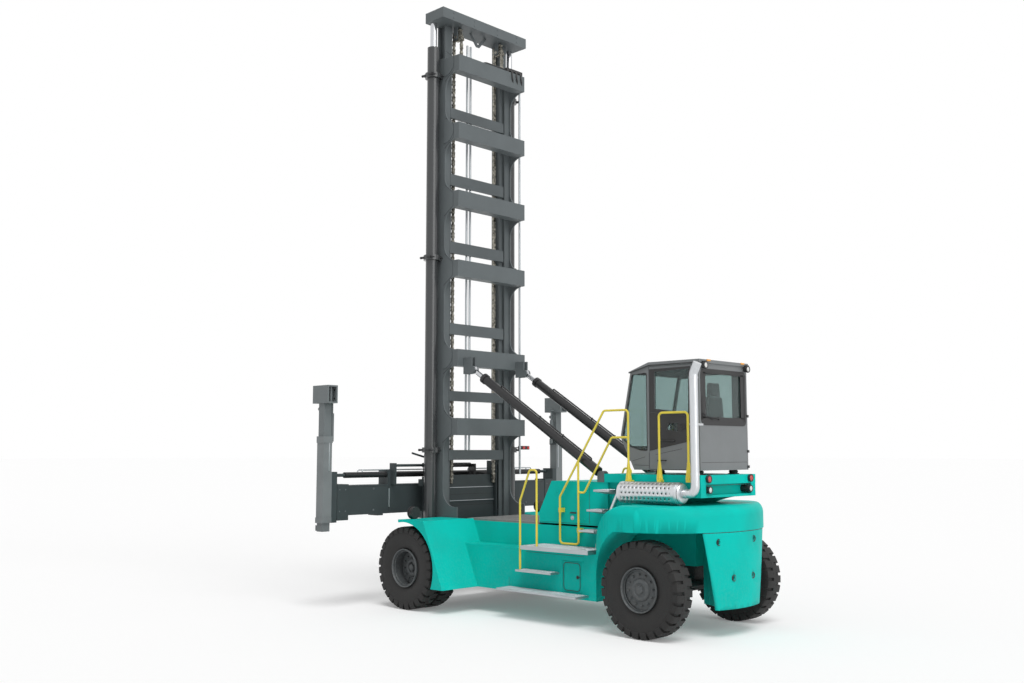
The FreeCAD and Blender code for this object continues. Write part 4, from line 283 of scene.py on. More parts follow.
def seat_cloth():
    """Plain woven cloth, a fine over-and-under grid with lighter flecks."""
    f = Finish("seat_cloth", (0.03, 0.032, 0.036), 0.9)
    f.set("Sheen Weight", 0.4)
    f.set("Sheen Roughness", 0.5)
    weave = f.math("MULTIPLY", f.waves(130, "Y"), f.waves(130, "Z"))
    flecks = f.spread(f.noise(60, 3), 0.4, 0.8)
    return f.done(f.blend(flecks, (0.009, 0.0095, 0.011), (0.03, 0.032, 0.035)), bump=(weave, 0.5, 0.0012))


def tinted_glass():
    """Grey-green safety glass, partly a mirror and partly clear."""
    f = Finish("tinted_glass", (0.2, 0.27, 0.27), 0.03)
    f.set("Transmission Weight", 0.93)
    f.set("IOR", 1.3)
    return f.done(f.blend(f.noise(1.1, 2), (0.42, 0.53, 0.52), (0.48, 0.59, 0.58)),
                  f.spread(f.noise(7, 4), 0.3, 0.8, 0.02, 0.06))


def cab_panel(colour):
    """Grey panels outside, and painted shade within the cab's walls: a near-black colour stands in for the
    shade of the cab's interior.
    """
    f = Finish("cab_satin", colour, 0.46)
    f.set("Specular IOR Level", 0.3)
    low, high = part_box("cab_shell")
    # Painted shade: every face within the cab's walls gets a near-black colour that stands in for the cab's
    # dark interior.
    cab_shade_mask = f.math("LESS_THAN", f.math("ABSOLUTE", f.axis("Y")), high.y - 0.02)
    for name, edge, test in (("X", low.x + 0.02, "GREATER_THAN"), ("X", high.x - 0.1, "LESS_THAN"),
                             ("Z", low.z + 0.02, "GREATER_THAN"), ("Z", high.z - 0.02, "LESS_THAN")):
        cab_shade_mask = f.math("MULTIPLY", cab_shade_mask, f.math(test, f.axis(name), edge))
    outer = f.blend(f.spread(f.noise(1.6, 3), 0.35, 0.7), colour, darker(colour, 0.92))
    return f.done(f.blend(cab_shade_mask, outer, (0.022, 0.023, 0.024)),
                  f.spread(f.noise(9, 5), 0.3, 0.8, 0.4, 0.55), (f.noise(PEEL_SCALE, 2), 0.25, PEEL_DEPTH))


def lamp_glass(name, colour, glow):
    """Ribbed lens over a lamp."""
    f = Finish(name, colour, 0.12)
    f.set("Coat Weight", 0.6)
    f.set("Emission Strength", glow)
    f.set("Emission Color", (*colour, 1.0))
    ribs = f.waves(28, "Y")
    return f.done(f.blend(ribs, colour, darker(colour, 0.6)), bump=(ribs, 0.5, 0.002))


def cast_iron():
    f = Finish("cast_iron", (0.03, 0.03, 0.03), 0.7, 0.5)
    patch = f.spread(f.noise(11, 6), 0.3, 0.7)
    return f.done(f.blend(patch, (0.028, 0.028, 0.028), (0.09, 0.075, 0.06)),
                  bump=(f.noise(90, 5), 0.6, 0.002))


def deck_anti_slip(colour):
    """Painted plate with a raised diamond pattern."""
    f = Finish("deck_anti_slip", colour, 0.7)
    lens = f.cells(18, f.stretched((1, 1.9, 0.01), (0, 0, math.radians(45))))
    raised = f.spread(lens, 0.36, 0.24)
    dust = f.spread(f.noise(6, 5), 0.35, 0.7)
    return f.done(f.blend(dust, colour, mixed(colour, DUST, 0.4)), f.spread(raised, 0, 1, 0.8, 0.5),
                  (raised, 0.6, 0.003))


def make_finish(slot):
    """The material of a slot or of a node's own finish, made once."""
    kept = bpy.data.materials.get(FINISH_NAME.get(slot, ""))
    if kept is not None:
        return kept
    p = bpy.context.scene.handler_paint
    makers = {
        "body_paint": lambda: paint("body_gloss", tuple(p.body_colour), 0.38, 0.02, 0.08, shine=0.02),
        "mast_grey": lambda: paint("mast_satin", tuple(p.mast_colour), 0.42, 0.0, 0.1, 0.35, 0.2),
        "frame_black": lambda: paint("frame_satin", tuple(p.frame_colour), 0.45, 0.0, 0.25, 0.4),
        "deck_grey": lambda: deck_anti_slip((0.16, 0.17, 0.17)),
        "cab_grey": lambda: cab_panel(tuple(p.cab_colour)),
        "cab_frame_dark": lambda: paint("cab_dark", (0.035, 0.038, 0.038), 0.42),
        "rail_yellow": lambda: paint("rail_gloss", tuple(p.rail_colour), 0.34, 0.3, 0.15),
        "rim_grey": lambda: paint("rim_satin", (0.085, 0.095, 0.1), 0.4, 0.0, 0.2, 0.4),
        "step_alloy": lambda: bare_metal("step_alloy", (0.5, 0.53, 0.55), 0.46, (1, 14, 14)),
        "cylinder_black": lambda: paint("cylinder_gloss", (0.018, 0.018, 0.019), 0.3, 0.2, 0.05),
        "lift_tube_grey": lambda: paint("lift_tube_gloss", (0.05, 0.053, 0.055), 0.24, 0.5, 0.05),
        "spreader_grey": lambda: spreader_paint((0.052, 0.066, 0.069), (0.215, 0.235, 0.24)),
        "leg_grey": lambda: paint("leg_satin", (0.17, 0.19, 0.195), 0.42, 0.0, 0.05, 0.35, 0.2),
        "shift_rod": shift_rod,
        "exhaust_core": exhaust_core,
        "exhaust_steel": lambda: bare_metal("exhaust_steel", (0.7, 0.72, 0.74), 0.36, BRUSHED),
        "rod_chrome": lambda: bare_metal("rod_chrome", (0.6, 0.61, 0.63), 0.16, (0.2, 0.2, 6), 0.08, 0.05),
        "chain_steel": greased_chain,
        "engine_iron": cast_iron,
        "cab_glazing": tinted_glass,
        "seat_cloth": seat_cloth,
        "cab_plastic": moulded_plastic,
        "lamp_red": lambda: lamp_glass("lamp_red", (0.5, 0.012, 0.01), 0.25),
        "lamp_clear": lambda: lamp_glass("lamp_clear", (0.72, 0.72, 0.7), 0.15),
        "lamp_amber": lambda: lamp_glass("lamp_amber", (0.8, 0.34, 0.02), 0.3),
        "tyre_black": tyre_rubber,
        "hose_black": hose_rubber,
    }
    made = makers[slot]()
    FINISH_NAME[slot] = made.name
    return made


FINISH_NAME = {}         # material made for each slot so far
# Nodes whose finish is closer to another slot's than to their own
NODE_FINISH = {"lift_tubes": "lift_tube_grey", "shift_cylinder": "shift_rod", "cab_door": "cab_grey",
               "exhaust": "exhaust_core",
               **dict.fromkeys(("tilt_tubes", "extend_tubes"), "cylinder_black"),
               **dict.fromkeys(("spreader_frame", "carriage_frame", "boom_left", "boom_right"),
                               "spreader_grey"),
               **dict.fromkeys(("leg_left", "leg_right"), "leg_grey"),
               **dict.fromkeys(("head_lamps", "tail_lamps", "work_lamps"), "cab_plastic")}


# ---- mesh building ------------------------------------------------------------------------
def shown(name, data):
    """Puts new data into the scene as an object."""
    made = bpy.data.objects.new(name, data)
    bpy.context.scene.collection.objects.link(made)
    return made


def mesh_of(name, bm):
    mesh = bpy.data.meshes.new(name)
    bm.to_mesh(mesh)
    bm.free()
    return mesh


def finished(name, mesh, body, slot, smooth):
    """Puts a mesh on a body with its finish, shaded smooth except over sharp edges."""
    made = shown(name, mesh)
    mesh.materials.clear()
    mesh.materials.append(make_finish(slot))
    for face in mesh.polygons:
        face.material_index = 0
        face.use_smooth = smooth > 0
    if smooth > 0:
        mesh.set_sharp_from_angle(angle=math.radians(smooth))
    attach(made, body)
    return made


def from_bmesh(name, bm, body, slot, smooth):
    """Makes a piece of a mesh under construction; smooth is an angle in degrees, 0 for flat faces."""
    bmesh.ops.remove_doubles(bm, verts=bm.verts, dist=1e-6)
    bmesh.ops.recalc_face_normals(bm, faces=bm.faces)
    return finished(name, mesh_of(name, bm), body, slot, smooth)


def add_box(bm, low, high, bevel=0.0, turn=None):
    """Box between two corners, with its edges rounded."""
    low, high = Vector(low), Vector(high)
    made = bmesh.ops.create_cube(bm, size=1.0)["verts"]
    place = Matrix.Translation((low + high) / 2) @ Matrix.Diagonal((*(high - low), 1.0))
    bmesh.ops.transform(bm, verts=made, matrix=place if turn is None else turn @ place)
    if bevel:
        edges = list(dict.fromkeys(e for v in made for e in v.link_edges))
        bmesh.ops.bevel(bm, geom=edges, offset=bevel, segments=2, affect="EDGES", profile=0.6)


def close_rings(bm, a, b):
    """Walls between two rings of as many corners."""
    for i in range(len(a)):
        j = (i + 1) % len(a)
        bm.faces.new((a[i], a[j], b[j], b[i]))


def close_solid(bm, ends):
    """Two end faces and the walls between them."""
    bm.faces.new(ends[0])
    bm.faces.new(list(reversed(ends[1])))
    for i in range(len(ends[0])):
        j = (i + 1) % len(ends[0])
        bm.faces.new((ends[0][i], ends[1][i], ends[1][j], ends[0][j]))


def add_prism(bm, outline, low, high, axis="Y"):
    """Outline in the plane across an axis, drawn out between two places on it."""
    rank = "XYZ".index(axis)
    close_solid(bm, [[bm.verts.new((*point[:rank], d, *point[rank:])) for point in outline]
                     for d in (low, high)])


def ring_at(bm, centre, side, up, radius, sides):
    turns = (2 * math.pi * k / sides for k in range(sides))
    return [bm.verts.new(centre + radius * (math.cos(t) * side + math.sin(t) * up)) for t in turns]


def add_lathe(bm, profile, centre, axis=(0, 1, 0), segments=64, closed=False):
    """Profile of (along, radius) points turned about an axis through a centre."""
    axis = Vector(axis).normalized()
    side = axis.orthogonal().normalized()
    up = axis.cross(side)
    centre = Vector(centre)
    rings = [ring_at(bm, centre + axis * along, side, up, radius, segments if radius > 1e-6 else 1)
             for along, radius in profile]
    pairs = list(zip(rings, rings[1:]))
    if closed:
        pairs.append((rings[-1], rings[0]))
    for a, b in pairs:
        for i in range(segments):
            j = (i + 1) % segments
            corner = [a[i % len(a)], a[j % len(a)], b[j % len(b)], b[i % len(b)]]
            unique = list(dict.fromkeys(corner))
            if len(unique) > 2:
                bm.faces.new(unique)


ARC_STEPS = 8            # pieces of one bend of a bar
CORNER_STEPS = 4         # pieces of one rounded corner of an outline


def rounded_route(points, bend):
    """Points of a bent bar: straight runs joined by arcs of one bend radius."""
    points = [Vector(p) for p in points]
    route = [points[0]]
    for before, corner, after in zip(points, points[1:], points[2:]):
        a, b = (before - corner).normalized(), (after - corner).normalized()
        half = a.angle(b) / 2
        cut = min(bend / math.tan(half), (before - corner).length / 2, (after - corner).length / 2)
        radius = cut * math.tan(half)
        middle = corner + (a + b).normalized() * radius / math.sin(half)
        start, end = corner + a * cut - middle, corner + b * cut - middle
        route += [middle + start.lerp(end, i / ARC_STEPS).normalized() * radius for i in range(ARC_STEPS + 1)]
    return route + [points[-1]]


def add_tube(bm, route, radius, sides):
    """Round bar along a route of points."""
    route = [Vector(p) for p in route]
    side, rings = None, []
    for i, point in enumerate(route):
        way = (route[min(i + 1, len(route) - 1)] - route[max(i - 1, 0)]).normalized()
        side = (side - way * side.dot(way)).normalized() if side else way.orthogonal().normalized()
        rings.append(ring_at(bm, point, side, way.cross(side), radius, sides))
    for a, b in zip(rings, rings[1:]):
        close_rings(bm, a, b)
    bm.faces.new(list(reversed(rings[0])))
    bm.faces.new(rings[-1])


def add_band(bm, centre, along, half, inner, outer, axis, segments):
    """Flat ring round an axis, at a distance along it."""
    edge = [(along - half, inner), (along - half, outer), (along + half, outer), (along + half, inner)]
    add_lathe(bm, edge, centre, axis, segments, closed=True)


def add_bolt(bm, place, way, radius, height):
    """Hexagon head with a washer, standing on a surface."""
    way = Vector(way).normalized()
    washer = [(0, 0), (0, radius * 1.5), (height * 0.25, radius * 1.5), (height * 0.25, 0)]
    add_lathe(bm, washer, place, way, 12)
    add_lathe(bm, [(0, 0), (0, radius), (height, radius), (height * 1.15, radius * 0.8), (height * 1.15, 0)],
              Vector(place) + way * height * 0.2, way, 6)


def both_sides(bm):
    """Adds the mirror image across the middle of the machine."""
    copy = bmesh.ops.duplicate(bm, geom=bm.verts[:] + bm.edges[:] + bm.faces[:])["geom"]
    verts = [g for g in copy if isinstance(g, bmesh.types.BMVert)]
    bmesh.ops.transform(bm, verts=verts, matrix=Matrix.Diagonal((1, -1, 1, 1)))
    bmesh.ops.reverse_faces(bm, faces=[g for g in copy if isinstance(g, bmesh.types.BMFace)])


# ---- geometry node trees ------------------------------------------------------------------
class Repeat:
    """A geometry node tree with named inputs that repeats one mesh."""

    def __init__(self, name, entries):
        self.tree = bpy.data.node_groups.new(name, "GeometryNodeTree")
        self.ids = {}
        self.tree.interface.new_socket("Geometry", in_out="OUTPUT", socket_type="NodeSocketGeometry")
        for entry, kind in (("Geometry", "Geometry"), *entries, ("Material", "Material")):
            socket = self.tree.interface.new_socket(entry, in_out="INPUT", socket_type="NodeSocket" + kind)
            self.ids[entry] = socket.identifier
        self.given = self.tree.nodes.new("NodeGroupInput").outputs

    def node(self, kind, inputs=None, **settings):
        return add_node(self.tree, kind, inputs, **settings)

    def math(self, operation, *values):
        return self.node("ShaderNodeMath", dict(enumerate(values)), operation=operation).outputs[0]

    def copies(self, points, **inputs):
        return self.node("GeometryNodeInstanceOnPoints", {"Points": points, **inputs}).outputs[0]

    def close(self, instances):
        """Ends the tree as plain geometry with its material."""
        real = self.node("GeometryNodeRealizeInstances", {0: instances}).outputs[0]
        painted = self.node("GeometryNodeSetMaterial", {"Geometry": real, "Material": self.given["Material"]})
        self.node("NodeGroupOutput", {0: painted.outputs[0]})
        self.tree["ids"] = self.ids


def ring_tree():
    """Repeats a mesh round the Y axis of its own centre, then moves the ring to its place."""
    r = Repeat("handler_ring", (("Count", "Int"), ("Phase", "Float"), ("Centre", "Vector")))
    points = r.node("GeometryNodePoints", {"Count": r.given["Count"]}).outputs[0]
    index = r.node("GeometryNodeInputIndex").outputs[0]
    angle = r.math("MULTIPLY_ADD", index, r.math("DIVIDE", 2 * math.pi, r.given["Count"]), r.given["Phase"])
    turn = r.node("ShaderNodeCombineXYZ", {"Y": angle}).outputs[0]
    copies = r.copies(points, Instance=r.given["Geometry"], Rotation=turn)
    moved = r.node("GeometryNodeTransform", {"Geometry": copies, "Translation": r.given["Centre"]})
    r.close(moved.outputs[0])
    return r.tree


def grid_tree():
    """Repeats a mesh over a grid in its own X and Y, with every other row shifted."""
    r = Repeat("handler_grid", (("Columns", "Int"), ("Rows", "Int"), ("Column Step", "Vector"),
                                ("Row Step", "Vector"), ("Shift", "Vector"), ("Corner", "Vector")))
    columns = r.given["Columns"]
    count = r.math("MULTIPLY", columns, r.given["Rows"])
    points = r.node("GeometryNodePoints", {"Count": count}).outputs[0]
    index = r.node("GeometryNodeInputIndex").outputs[0]
    column = r.math("MODULO", index, columns)
    row = r.math("FLOOR", r.math("DIVIDE", index, columns))
    odd = r.math("MODULO", row, 2.0)
    place = r.given["Corner"]
    for number, name in ((column, "Column Step"), (row, "Row Step"), (odd, "Shift")):
        part = r.node("ShaderNodeVectorMath", {0: r.given[name], "Scale": number}, operation="SCALE")
        place = r.node("ShaderNodeVectorMath", {0: place, 1: part.outputs[0]}, operation="ADD").outputs[0]
    placed = r.node("GeometryNodeSetPosition", {"Geometry": points, "Position": place}).outputs[0]
    r.close(r.copies(placed, Instance=r.given["Geometry"]))
    return r.tree


def path_tree():
    """Repeats a link along a path at an even pitch, turned to follow it."""
    r = Repeat("handler_path", (("Pitch", "Float"), ("Link", "Object")))
    line = r.node("GeometryNodeMeshToCurve", {"Mesh": r.given["Geometry"]}).outputs[0]
    dots = r.node("GeometryNodeCurveToPoints", {"Curve": line, "Length": r.given["Pitch"]}, mode="LENGTH")
    link = r.node("GeometryNodeObjectInfo", {"Object": r.given["Link"]})
    along = r.node("FunctionNodeAlignRotationToVector", {"Vector": dots.outputs["Tangent"]},
                   axis="Z", pivot_axis="Y").outputs[0]
    r.close(r.copies(dots.outputs["Points"], Instance=link.outputs["Geometry"], Rotation=along))
    return r.tree


TREES = {"handler_ring": ring_tree, "handler_grid": grid_tree, "handler_path": path_tree}


def repeated(name, bm, tree_name, inputs, slot, body, smooth):
    """Runs a node tree on a mesh and keeps its result as a plain piece on a body."""
    bmesh.ops.recalc_face_normals(bm, faces=bm.faces)
    holder = shown(name + "_seed", mesh_of(name + "_seed", bm))
    tree = bpy.data.node_groups.get(tree_name) or TREES[tree_name]()
    modifier = holder.modifiers.new("repeat", "NODES")
    modifier.node_group = tree
    for key, value in {**inputs, "Material": make_finish(slot)}.items():
        modifier[tree["ids"][key]] = value
    graph = bpy.context.evaluated_depsgraph_get()
    mesh = bpy.data.meshes.new_from_object(holder.evaluated_get(graph))
    holder.modifiers.remove(modifier)
    bpy.data.objects.remove(holder)
    mesh.name = name
    return finished(name, mesh, body, slot, smooth)


# ---- properties ---------------------------------------------------------------------------
def colour_property(name, description, default):
    return bpy.props.FloatVectorProperty(name=name, description=description, default=default,
                                         subtype="COLOR", size=3, min=0.0, max=1.0)


def length_property(name, description, default):
    return bpy.props.FloatProperty(name=name, description=description, default=default,
                                   unit="LENGTH", min=0.0)


def count_property(name, description, default):
    return bpy.props.IntProperty(name=name, description=description, default=default, min=4, max=60)


def strength_property(name, description, default):
    return bpy.props.FloatProperty(name=name, description=description, default=default, min=0.0)


class HandlerPaint(bpy.types.PropertyGroup):
    body_colour: colour_property("Body", "Gloss paint of the chassis and hood", (0.0045, 0.55, 0.475))
    mast_colour: colour_property("Mast", "Satin paint of the mast and spreader", (0.132, 0.150, 0.156))
    frame_colour: colour_property("Frame", "Paint of axles and cylinders", (0.028, 0.029, 0.031))
    cab_colour: colour_property("Cab", "Paint of the cab's panels", (0.2, 0.212, 0.217))
    rail_colour: colour_property("Rails", "Paint of the handrails", (0.86, 0.7, 0.07))


class HandlerTyres(bpy.types.PropertyGroup):
    lugs: count_property("Lugs", "Lugs round each side of a tyre", 28)
    depth: length_property("Tread depth", "Depth of the slots between lugs", 0.026)
    nuts: count_property("Wheel nuts", "Nuts on each wheel", 12)


class HandlerChain(bpy.types.PropertyGroup):
    pitch: length_property("Pitch", "Distance between the pins of the lift chain", 0.075)
    plate: length_property("Plate thickness", "Thickness of one link plate", 0.008)


class HandlerExhaust(bpy.types.PropertyGroup):
    holes_along: count_property("Holes along", "Holes in one row of the muffler guard", 13)
    holes_round: count_property("Holes round", "Rows of holes round the muffler guard", 12)
    hole: length_property("Hole size", "Diameter of one hole in the guard", 0.026)


class HandlerRails(bpy.types.PropertyGroup):
    grip_pitch: length_property("Grip pitch", "Distance between the raised teeth of the steps", 0.036)
    rail_radius: length_property("Rail radius", "Radius of the handrail tube", 0.017)


class HandlerStage(bpy.types.PropertyGroup):
    lens: bpy.props.FloatProperty(name="Lens", description="Focal length of the camera in millimetres",
                                  default=37.09, min=10.0)
    key: strength_property("Key light", "Strength of the light from above", 1.5)
    rear: strength_property("Rear light", "Strength of the light from behind", 0.9)
    world: strength_property("Sky light", "Strength of the even light", 0.42)
    floor_glow: strength_property("Floor glow", "How far the floor is lifted to white", 0.15)


# ---- pieces -------------------------------------------------------------------------------
class HANDLER_OT_finishes(bpy.types.Operator):
    """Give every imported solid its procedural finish"""
    bl_idname = "handler.finishes"
    bl_label = "Finishes"

    def execute(self, context):
        for name, node in frame["nodes"].items():
            made = make_finish(NODE_FINISH.get(name, SLOT_OF[name]))
            for slot in node.material_slots:
                slot.material = made
            if not node.material_slots:
                node.data.materials.append(made)
        return {"FINISHED"}


RIM_RADIUS = 0.31
FRONT_TYRE_WIDTH = 0.3


def tyre_profile(width, radius, rim, depth):
    """Carcass of a tyre, from one bead round the tread to the other, as (along, radius)."""
    h = width / 2
    rib = 0.09 * width
    base = radius - depth
    outer = [(rib, radius), (rib + 0.006, base), (h - 0.05, base), (h - 0.022, base - 0.018),
             (h - 0.006, base - 0.055), (h, base - 0.12), (h, base - 0.17), (h - 0.012, rim + 0.1),
             (h - 0.03, rim + 0.045), (h - 0.035, rim + 0.012), (h - 0.05, rim)]
    return [(-a, r) for a, r in reversed(outer)] + outer


def add_lug(bm, side, width, radius, depth, share, count):
    """One shoulder lug: its section follows the tyre's shoulder, its flanks lean."""
    h = width / 2
    rib = 0.085 * width
    section = [(rib, radius), (h - 0.035, radius), (h - 0.008, radius - 0.012), (h + 0.002, radius - 0.045),
               (h + 0.002, radius - 0.095), (h - 0.02, radius - 0.12), (rib, radius - depth - 0.012)]
    pitch = 2 * math.pi / count
    ends = []
    for sign in (-1, 1):
        ring = []
        for along, r in section:
            lean = share * pitch / 2 * (0.94 if r > radius - 0.02 else 1.0)
            skew = 0.10 * pitch * (along - rib) / h
            t = sign * lean + skew * side
            ring.append(bm.verts.new((r * math.sin(t), side * along, r * math.cos(t))))
        ends.append(ring)
    close_solid(bm, ends)


def make_tyre(name, node, body, centres, width):
    """Carcass and lugs of one wheel's tyres."""
    t = bpy.context.scene.handler_tyres
    low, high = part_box(node)
    radius = (high.z - low.z) / 2
    axle_x, axle_z = (low.x + high.x) / 2, low.z + radius
    profile = tyre_profile(width, radius, RIM_RADIUS, t.depth)
    bm = bmesh.new()
    for y in centres:
        add_lathe(bm, profile, (axle_x, y, axle_z), segments=96, closed=True)
    carcass = from_bmesh(name, bm, body, "tyre_black", 50)
    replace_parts(carcass, node)
    for k, y in enumerate(centres):
        for side in (-1, 1):
            bm = bmesh.new()
            add_lug(bm, side, width, radius, t.depth, 0.74, t.lugs)
            phase = math.pi / t.lugs if side > 0 else 0.0
            lugs = repeated(f"{name}_lugs_{k}_{'out' if side > 0 else 'in'}", bm, "handler_ring",
                            {"Count": t.lugs, "Phase": phase, "Centre": (axle_x, y, axle_z)},
                            "tyre_black", body, 40)
            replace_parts(lugs, node)


class HANDLER_OT_tyres(bpy.types.Operator):
    """Build the lugged tyres"""
    bl_idname = "handler.tyres"
    bl_label = "Tyres"

    def execute(self, context):
        for side in ("left", "right"):
            low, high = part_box("tyre_rear_" + side)
            make_tyre("rear_tyre_" + side, "tyre_rear_" + side, "wheel_rear_" + side,
                      [(low.y + high.y) / 2], high.y - low.y)
            low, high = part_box("tyre_front_" + side)
            half = FRONT_TYRE_WIDTH / 2
            make_tyre("front_tyre_" + side, "tyre_front_" + side, "wheel_front_" + side,
                      [low.y + half, high.y - half], FRONT_TYRE_WIDTH)
        return {"FINISHED"}


class HANDLER_OT_wheel_nuts(bpy.types.Operator):
    """Add the nuts, the lock rings and the hubs of the wheels"""
    bl_idname = "handler.wheel_nuts"
    bl_label = "Wheel nuts and lock rings"

    def execute(self, context):
        count = context.scene.handler_tyres.nuts
        for end, side in (("rear", "left"), ("rear", "right"), ("front", "left"), ("front", "right")):
            body = f"wheel_{end}_{side}"
            low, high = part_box(f"rim_{end}_{side}")
            out = 1 if side == "left" else -1
            face = high.y if out > 0 else low.y
            x, z = (low.x + high.x) / 2, (low.z + high.z) / 2
            radius = (high.z - low.z) / 2
            lip = [(0.0, radius - 0.012), (0.010, radius - 0.004), (0.010, radius + 0.008),
                   (-0.004, radius + 0.012), (-0.012, radius + 0.002), (-0.012, radius - 0.014)]
            ring = [(-0.034, radius - 0.034), (-0.026, radius - 0.03), (-0.026, radius - 0.022),
                    (-0.034, radius - 0.018)]
            bm = bmesh.new()
            for profile in (lip, ring):
                add_lathe(bm, [(a * out, r) for a, r in profile], (x, face, z), segments=96, closed=True)
            from_bmesh(f"lock_rings_{end}_{side}", bm, body, "rim_grey", 40)
            deep, pitch = (0.055, 0.215) if end == "rear" else (0.19, 0.2)
            disc, edge = face - out * deep, radius - 0.02
            hub = [(-0.02, edge), (0.0, edge - 0.012), (0.0, 0.165), (0.022, 0.15), (0.034, 0.135),
                   (0.034, 0.1), (0.02, 0.085), (0.02, 0.06), (0.042, 0.052), (0.048, 0.03), (0.048, 0.0)]
            bm = bmesh.new()
            add_lathe(bm, [(a * out, r) for a, r in hub], (x, disc, z), segments=72)
            from_bmesh(f"hub_{end}_{side}", bm, body, "rim_grey", 40)
            bm = bmesh.new()
            add_bolt(bm, (0, 0, pitch), (0, out, 0), 0.0155, 0.022)
            repeated(f"nuts_{end}_{side}", bm, "handler_ring",
                     {"Count": count, "Phase": 0.1, "Centre": (x, disc, z)}, "rim_grey", body, 30)
        return {"FINISHED"}


# ---- lift chains --------------------------------------------------------------------------
def add_plate(bm, middle_z, y, pitch, thick, height):
    """One link plate standing along Z, its waist drawn in between the pins."""
    r = height / 2
    waist = 0.72 * r
    half = pitch / 2
    turns = (0, 35, 70, 110, 145, 180)
    top = [(r * math.cos(math.radians(t)), half + r * math.sin(math.radians(t))) for t in turns]
    outline = top + [(-waist, 0)] + [(-x, -z) for x, z in top] + [(waist, 0)]
    add_prism(bm, [(x, z + middle_z) for x, z in outline], y - thick / 2, y + thick / 2)


def chain_link(pitch, thick, height):
    """Two pitches of a leaf chain: seven plates in turn on their two pins."""
    bm = bmesh.new()
    layers = 7
    gap = thick * 1.05
    for k in range(layers):
        add_plate(bm, 0.0 if k % 2 else pitch, (k - (layers - 1) / 2) * gap, pitch, thick, height)
    half = layers * gap / 2 + 0.002
    pin = [(-half, 0), (-half, height * 0.2), (half, height * 0.2), (half, 0)]
    for z in (-pitch / 2, pitch / 2):
        add_lathe(bm, pin, (0, 0, z), (0, 1, 0), 8)
    bmesh.ops.recalc_face_normals(bm, faces=bm.faces)
    return shown("chain_link", mesh_of("chain_link", bm))


class HANDLER_OT_chains(bpy.types.Operator):
    """Build the leaf chains over their sheaves"""
    bl_idname = "handler.chains"
    bl_label = "Lift chains"

    def execute(self, context):
        c = context.scene.handler_chain
        low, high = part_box("lift_chains")
        sheave_low, sheave_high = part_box("chain_sheaves")
        sheave_r = (sheave_high.z - sheave_low.z) / 2
        axle_x, axle_z = (sheave_low.x + sheave_high.x) / 2, (sheave_low.z + sheave_high.z) / 2
        height = (high.x - axle_x - sheave_r) * 0.96
        run = sheave_r + height / 2 + 0.001
        arc = [(axle_x + run * math.cos(t), axle_z + run * math.sin(t))
               for t in (math.pi * i / 24 for i in range(25))]
        path = [(axle_x + run, low.z)] + arc + [(axle_x - run, axle_z - 0.57)]
        link = chain_link(c.pitch, c.plate, height)
        for side, y in (("left", high.y - 0.03), ("right", low.y + 0.03)):
            bm = bmesh.new()
            line = [bm.verts.new((x, y, z)) for x, z in path]
            for a, b in zip(line, line[1:]):
                bm.edges.new((a, b))
            made = repeated("lift_chain_" + side, bm, "handler_path", {"Pitch": 2 * c.pitch, "Link": link},
                            "chain_steel", "inner_mast", 30)
            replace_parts(made, "lift_chains")
        bpy.data.objects.remove(link)
        return {"FINISHED"}


# ---- exhaust ------------------------------------------------------------------------------
GUARD_REAR, GUARD_FRONT = ahead(-4.925), ahead(-3.94)
MUFFLER_Y, MUFFLER_Z = 0.87, 2.02
GUARD_RADIUS = 0.156
STACK_X = ahead(-5.21)


class HANDLER_OT_exhaust(bpy.types.Operator):
    """Build the perforated guard, bands and clamps of the muffler"""
    bl_idname = "handler.exhaust"
    bl_label = "Exhaust guard"

    def execute(self, context):
        e = context.scene.handler_exhaust
        rear, front, radius = GUARD_REAR, GUARD_FRONT, GUARD_RADIUS
        columns, rows = e.holes_along, e.holes_round
        step, tall = (front - rear) / (columns + 0.5), 2 * math.pi * radius / rows
        corners = [(1, 0), (1, 1), (0, 1), (-1, 1), (-1, 0), (-1, -1), (0, -1), (1, -1)]
        bm = bmesh.new()
        outer = [bm.verts.new((u * step / 2, v * tall / 2, 0)) for u, v in corners]
        inner = ring_at(bm, Vector(), Vector((1, 0, 0)), Vector((0, 1, 0)), e.hole / 2, 8)
        close_rings(bm, outer, inner)
        guard = repeated("muffler_guard", bm, "handler_grid",
                         {"Columns": columns, "Rows": rows, "Column Step": (step, 0, 0),
                          "Row Step": (0, tall, 0), "Shift": (step / 2, 0, 0),
                          "Corner": (rear + step / 2, 0, 0)}, "exhaust_steel", "chassis", 50)
        for v in guard.data.vertices:
            turn = v.co.y / radius
            v.co.y = MUFFLER_Y + radius * math.cos(turn)
            v.co.z = MUFFLER_Z + radius * math.sin(turn)
        weld = guard.modifiers.new("weld", "WELD")
        weld.merge_threshold = 0.0005
        wall = guard.modifiers.new("wall", "SOLIDIFY")
        wall.thickness = 0.003
        centre = (0, MUFFLER_Y, MUFFLER_Z)
        bm = bmesh.new()
        for x in (rear + 0.01, front - 0.01):
            add_band(bm, centre, x, 0.03, radius - 0.004, radius + 0.004, (1, 0, 0), 64)
        cap = [(rear, radius), (rear - 0.05, 0.153), (rear - 0.085, 0.13), (rear - 0.094, 0.09),
               (rear - 0.094, 0.0)]
        add_lathe(bm, cap, centre, (1, 0, 0), 64)
        for x, r in ((rear - 0.14, 0.068), (front + 0.075, 0.04)):
            add_band(bm, centre, x, 0.012, r - 0.01, r, (1, 0, 0), 48)
        for high in (2.3, 3.0, 3.66):
            add_band(bm, (STACK_X, MUFFLER_Y, 0), high, 0.014, 0.06, 0.067, (0, 0, 1), 48)
        add_box(bm, (STACK_X, 0.64, 2.985), (STACK_X + 0.02, MUFFLER_Y - 0.055, 3.015), 0.003)
        from_bmesh("muffler_bands", bm, "chassis", "exhaust_steel", 40)
        return {"FINISHED"}


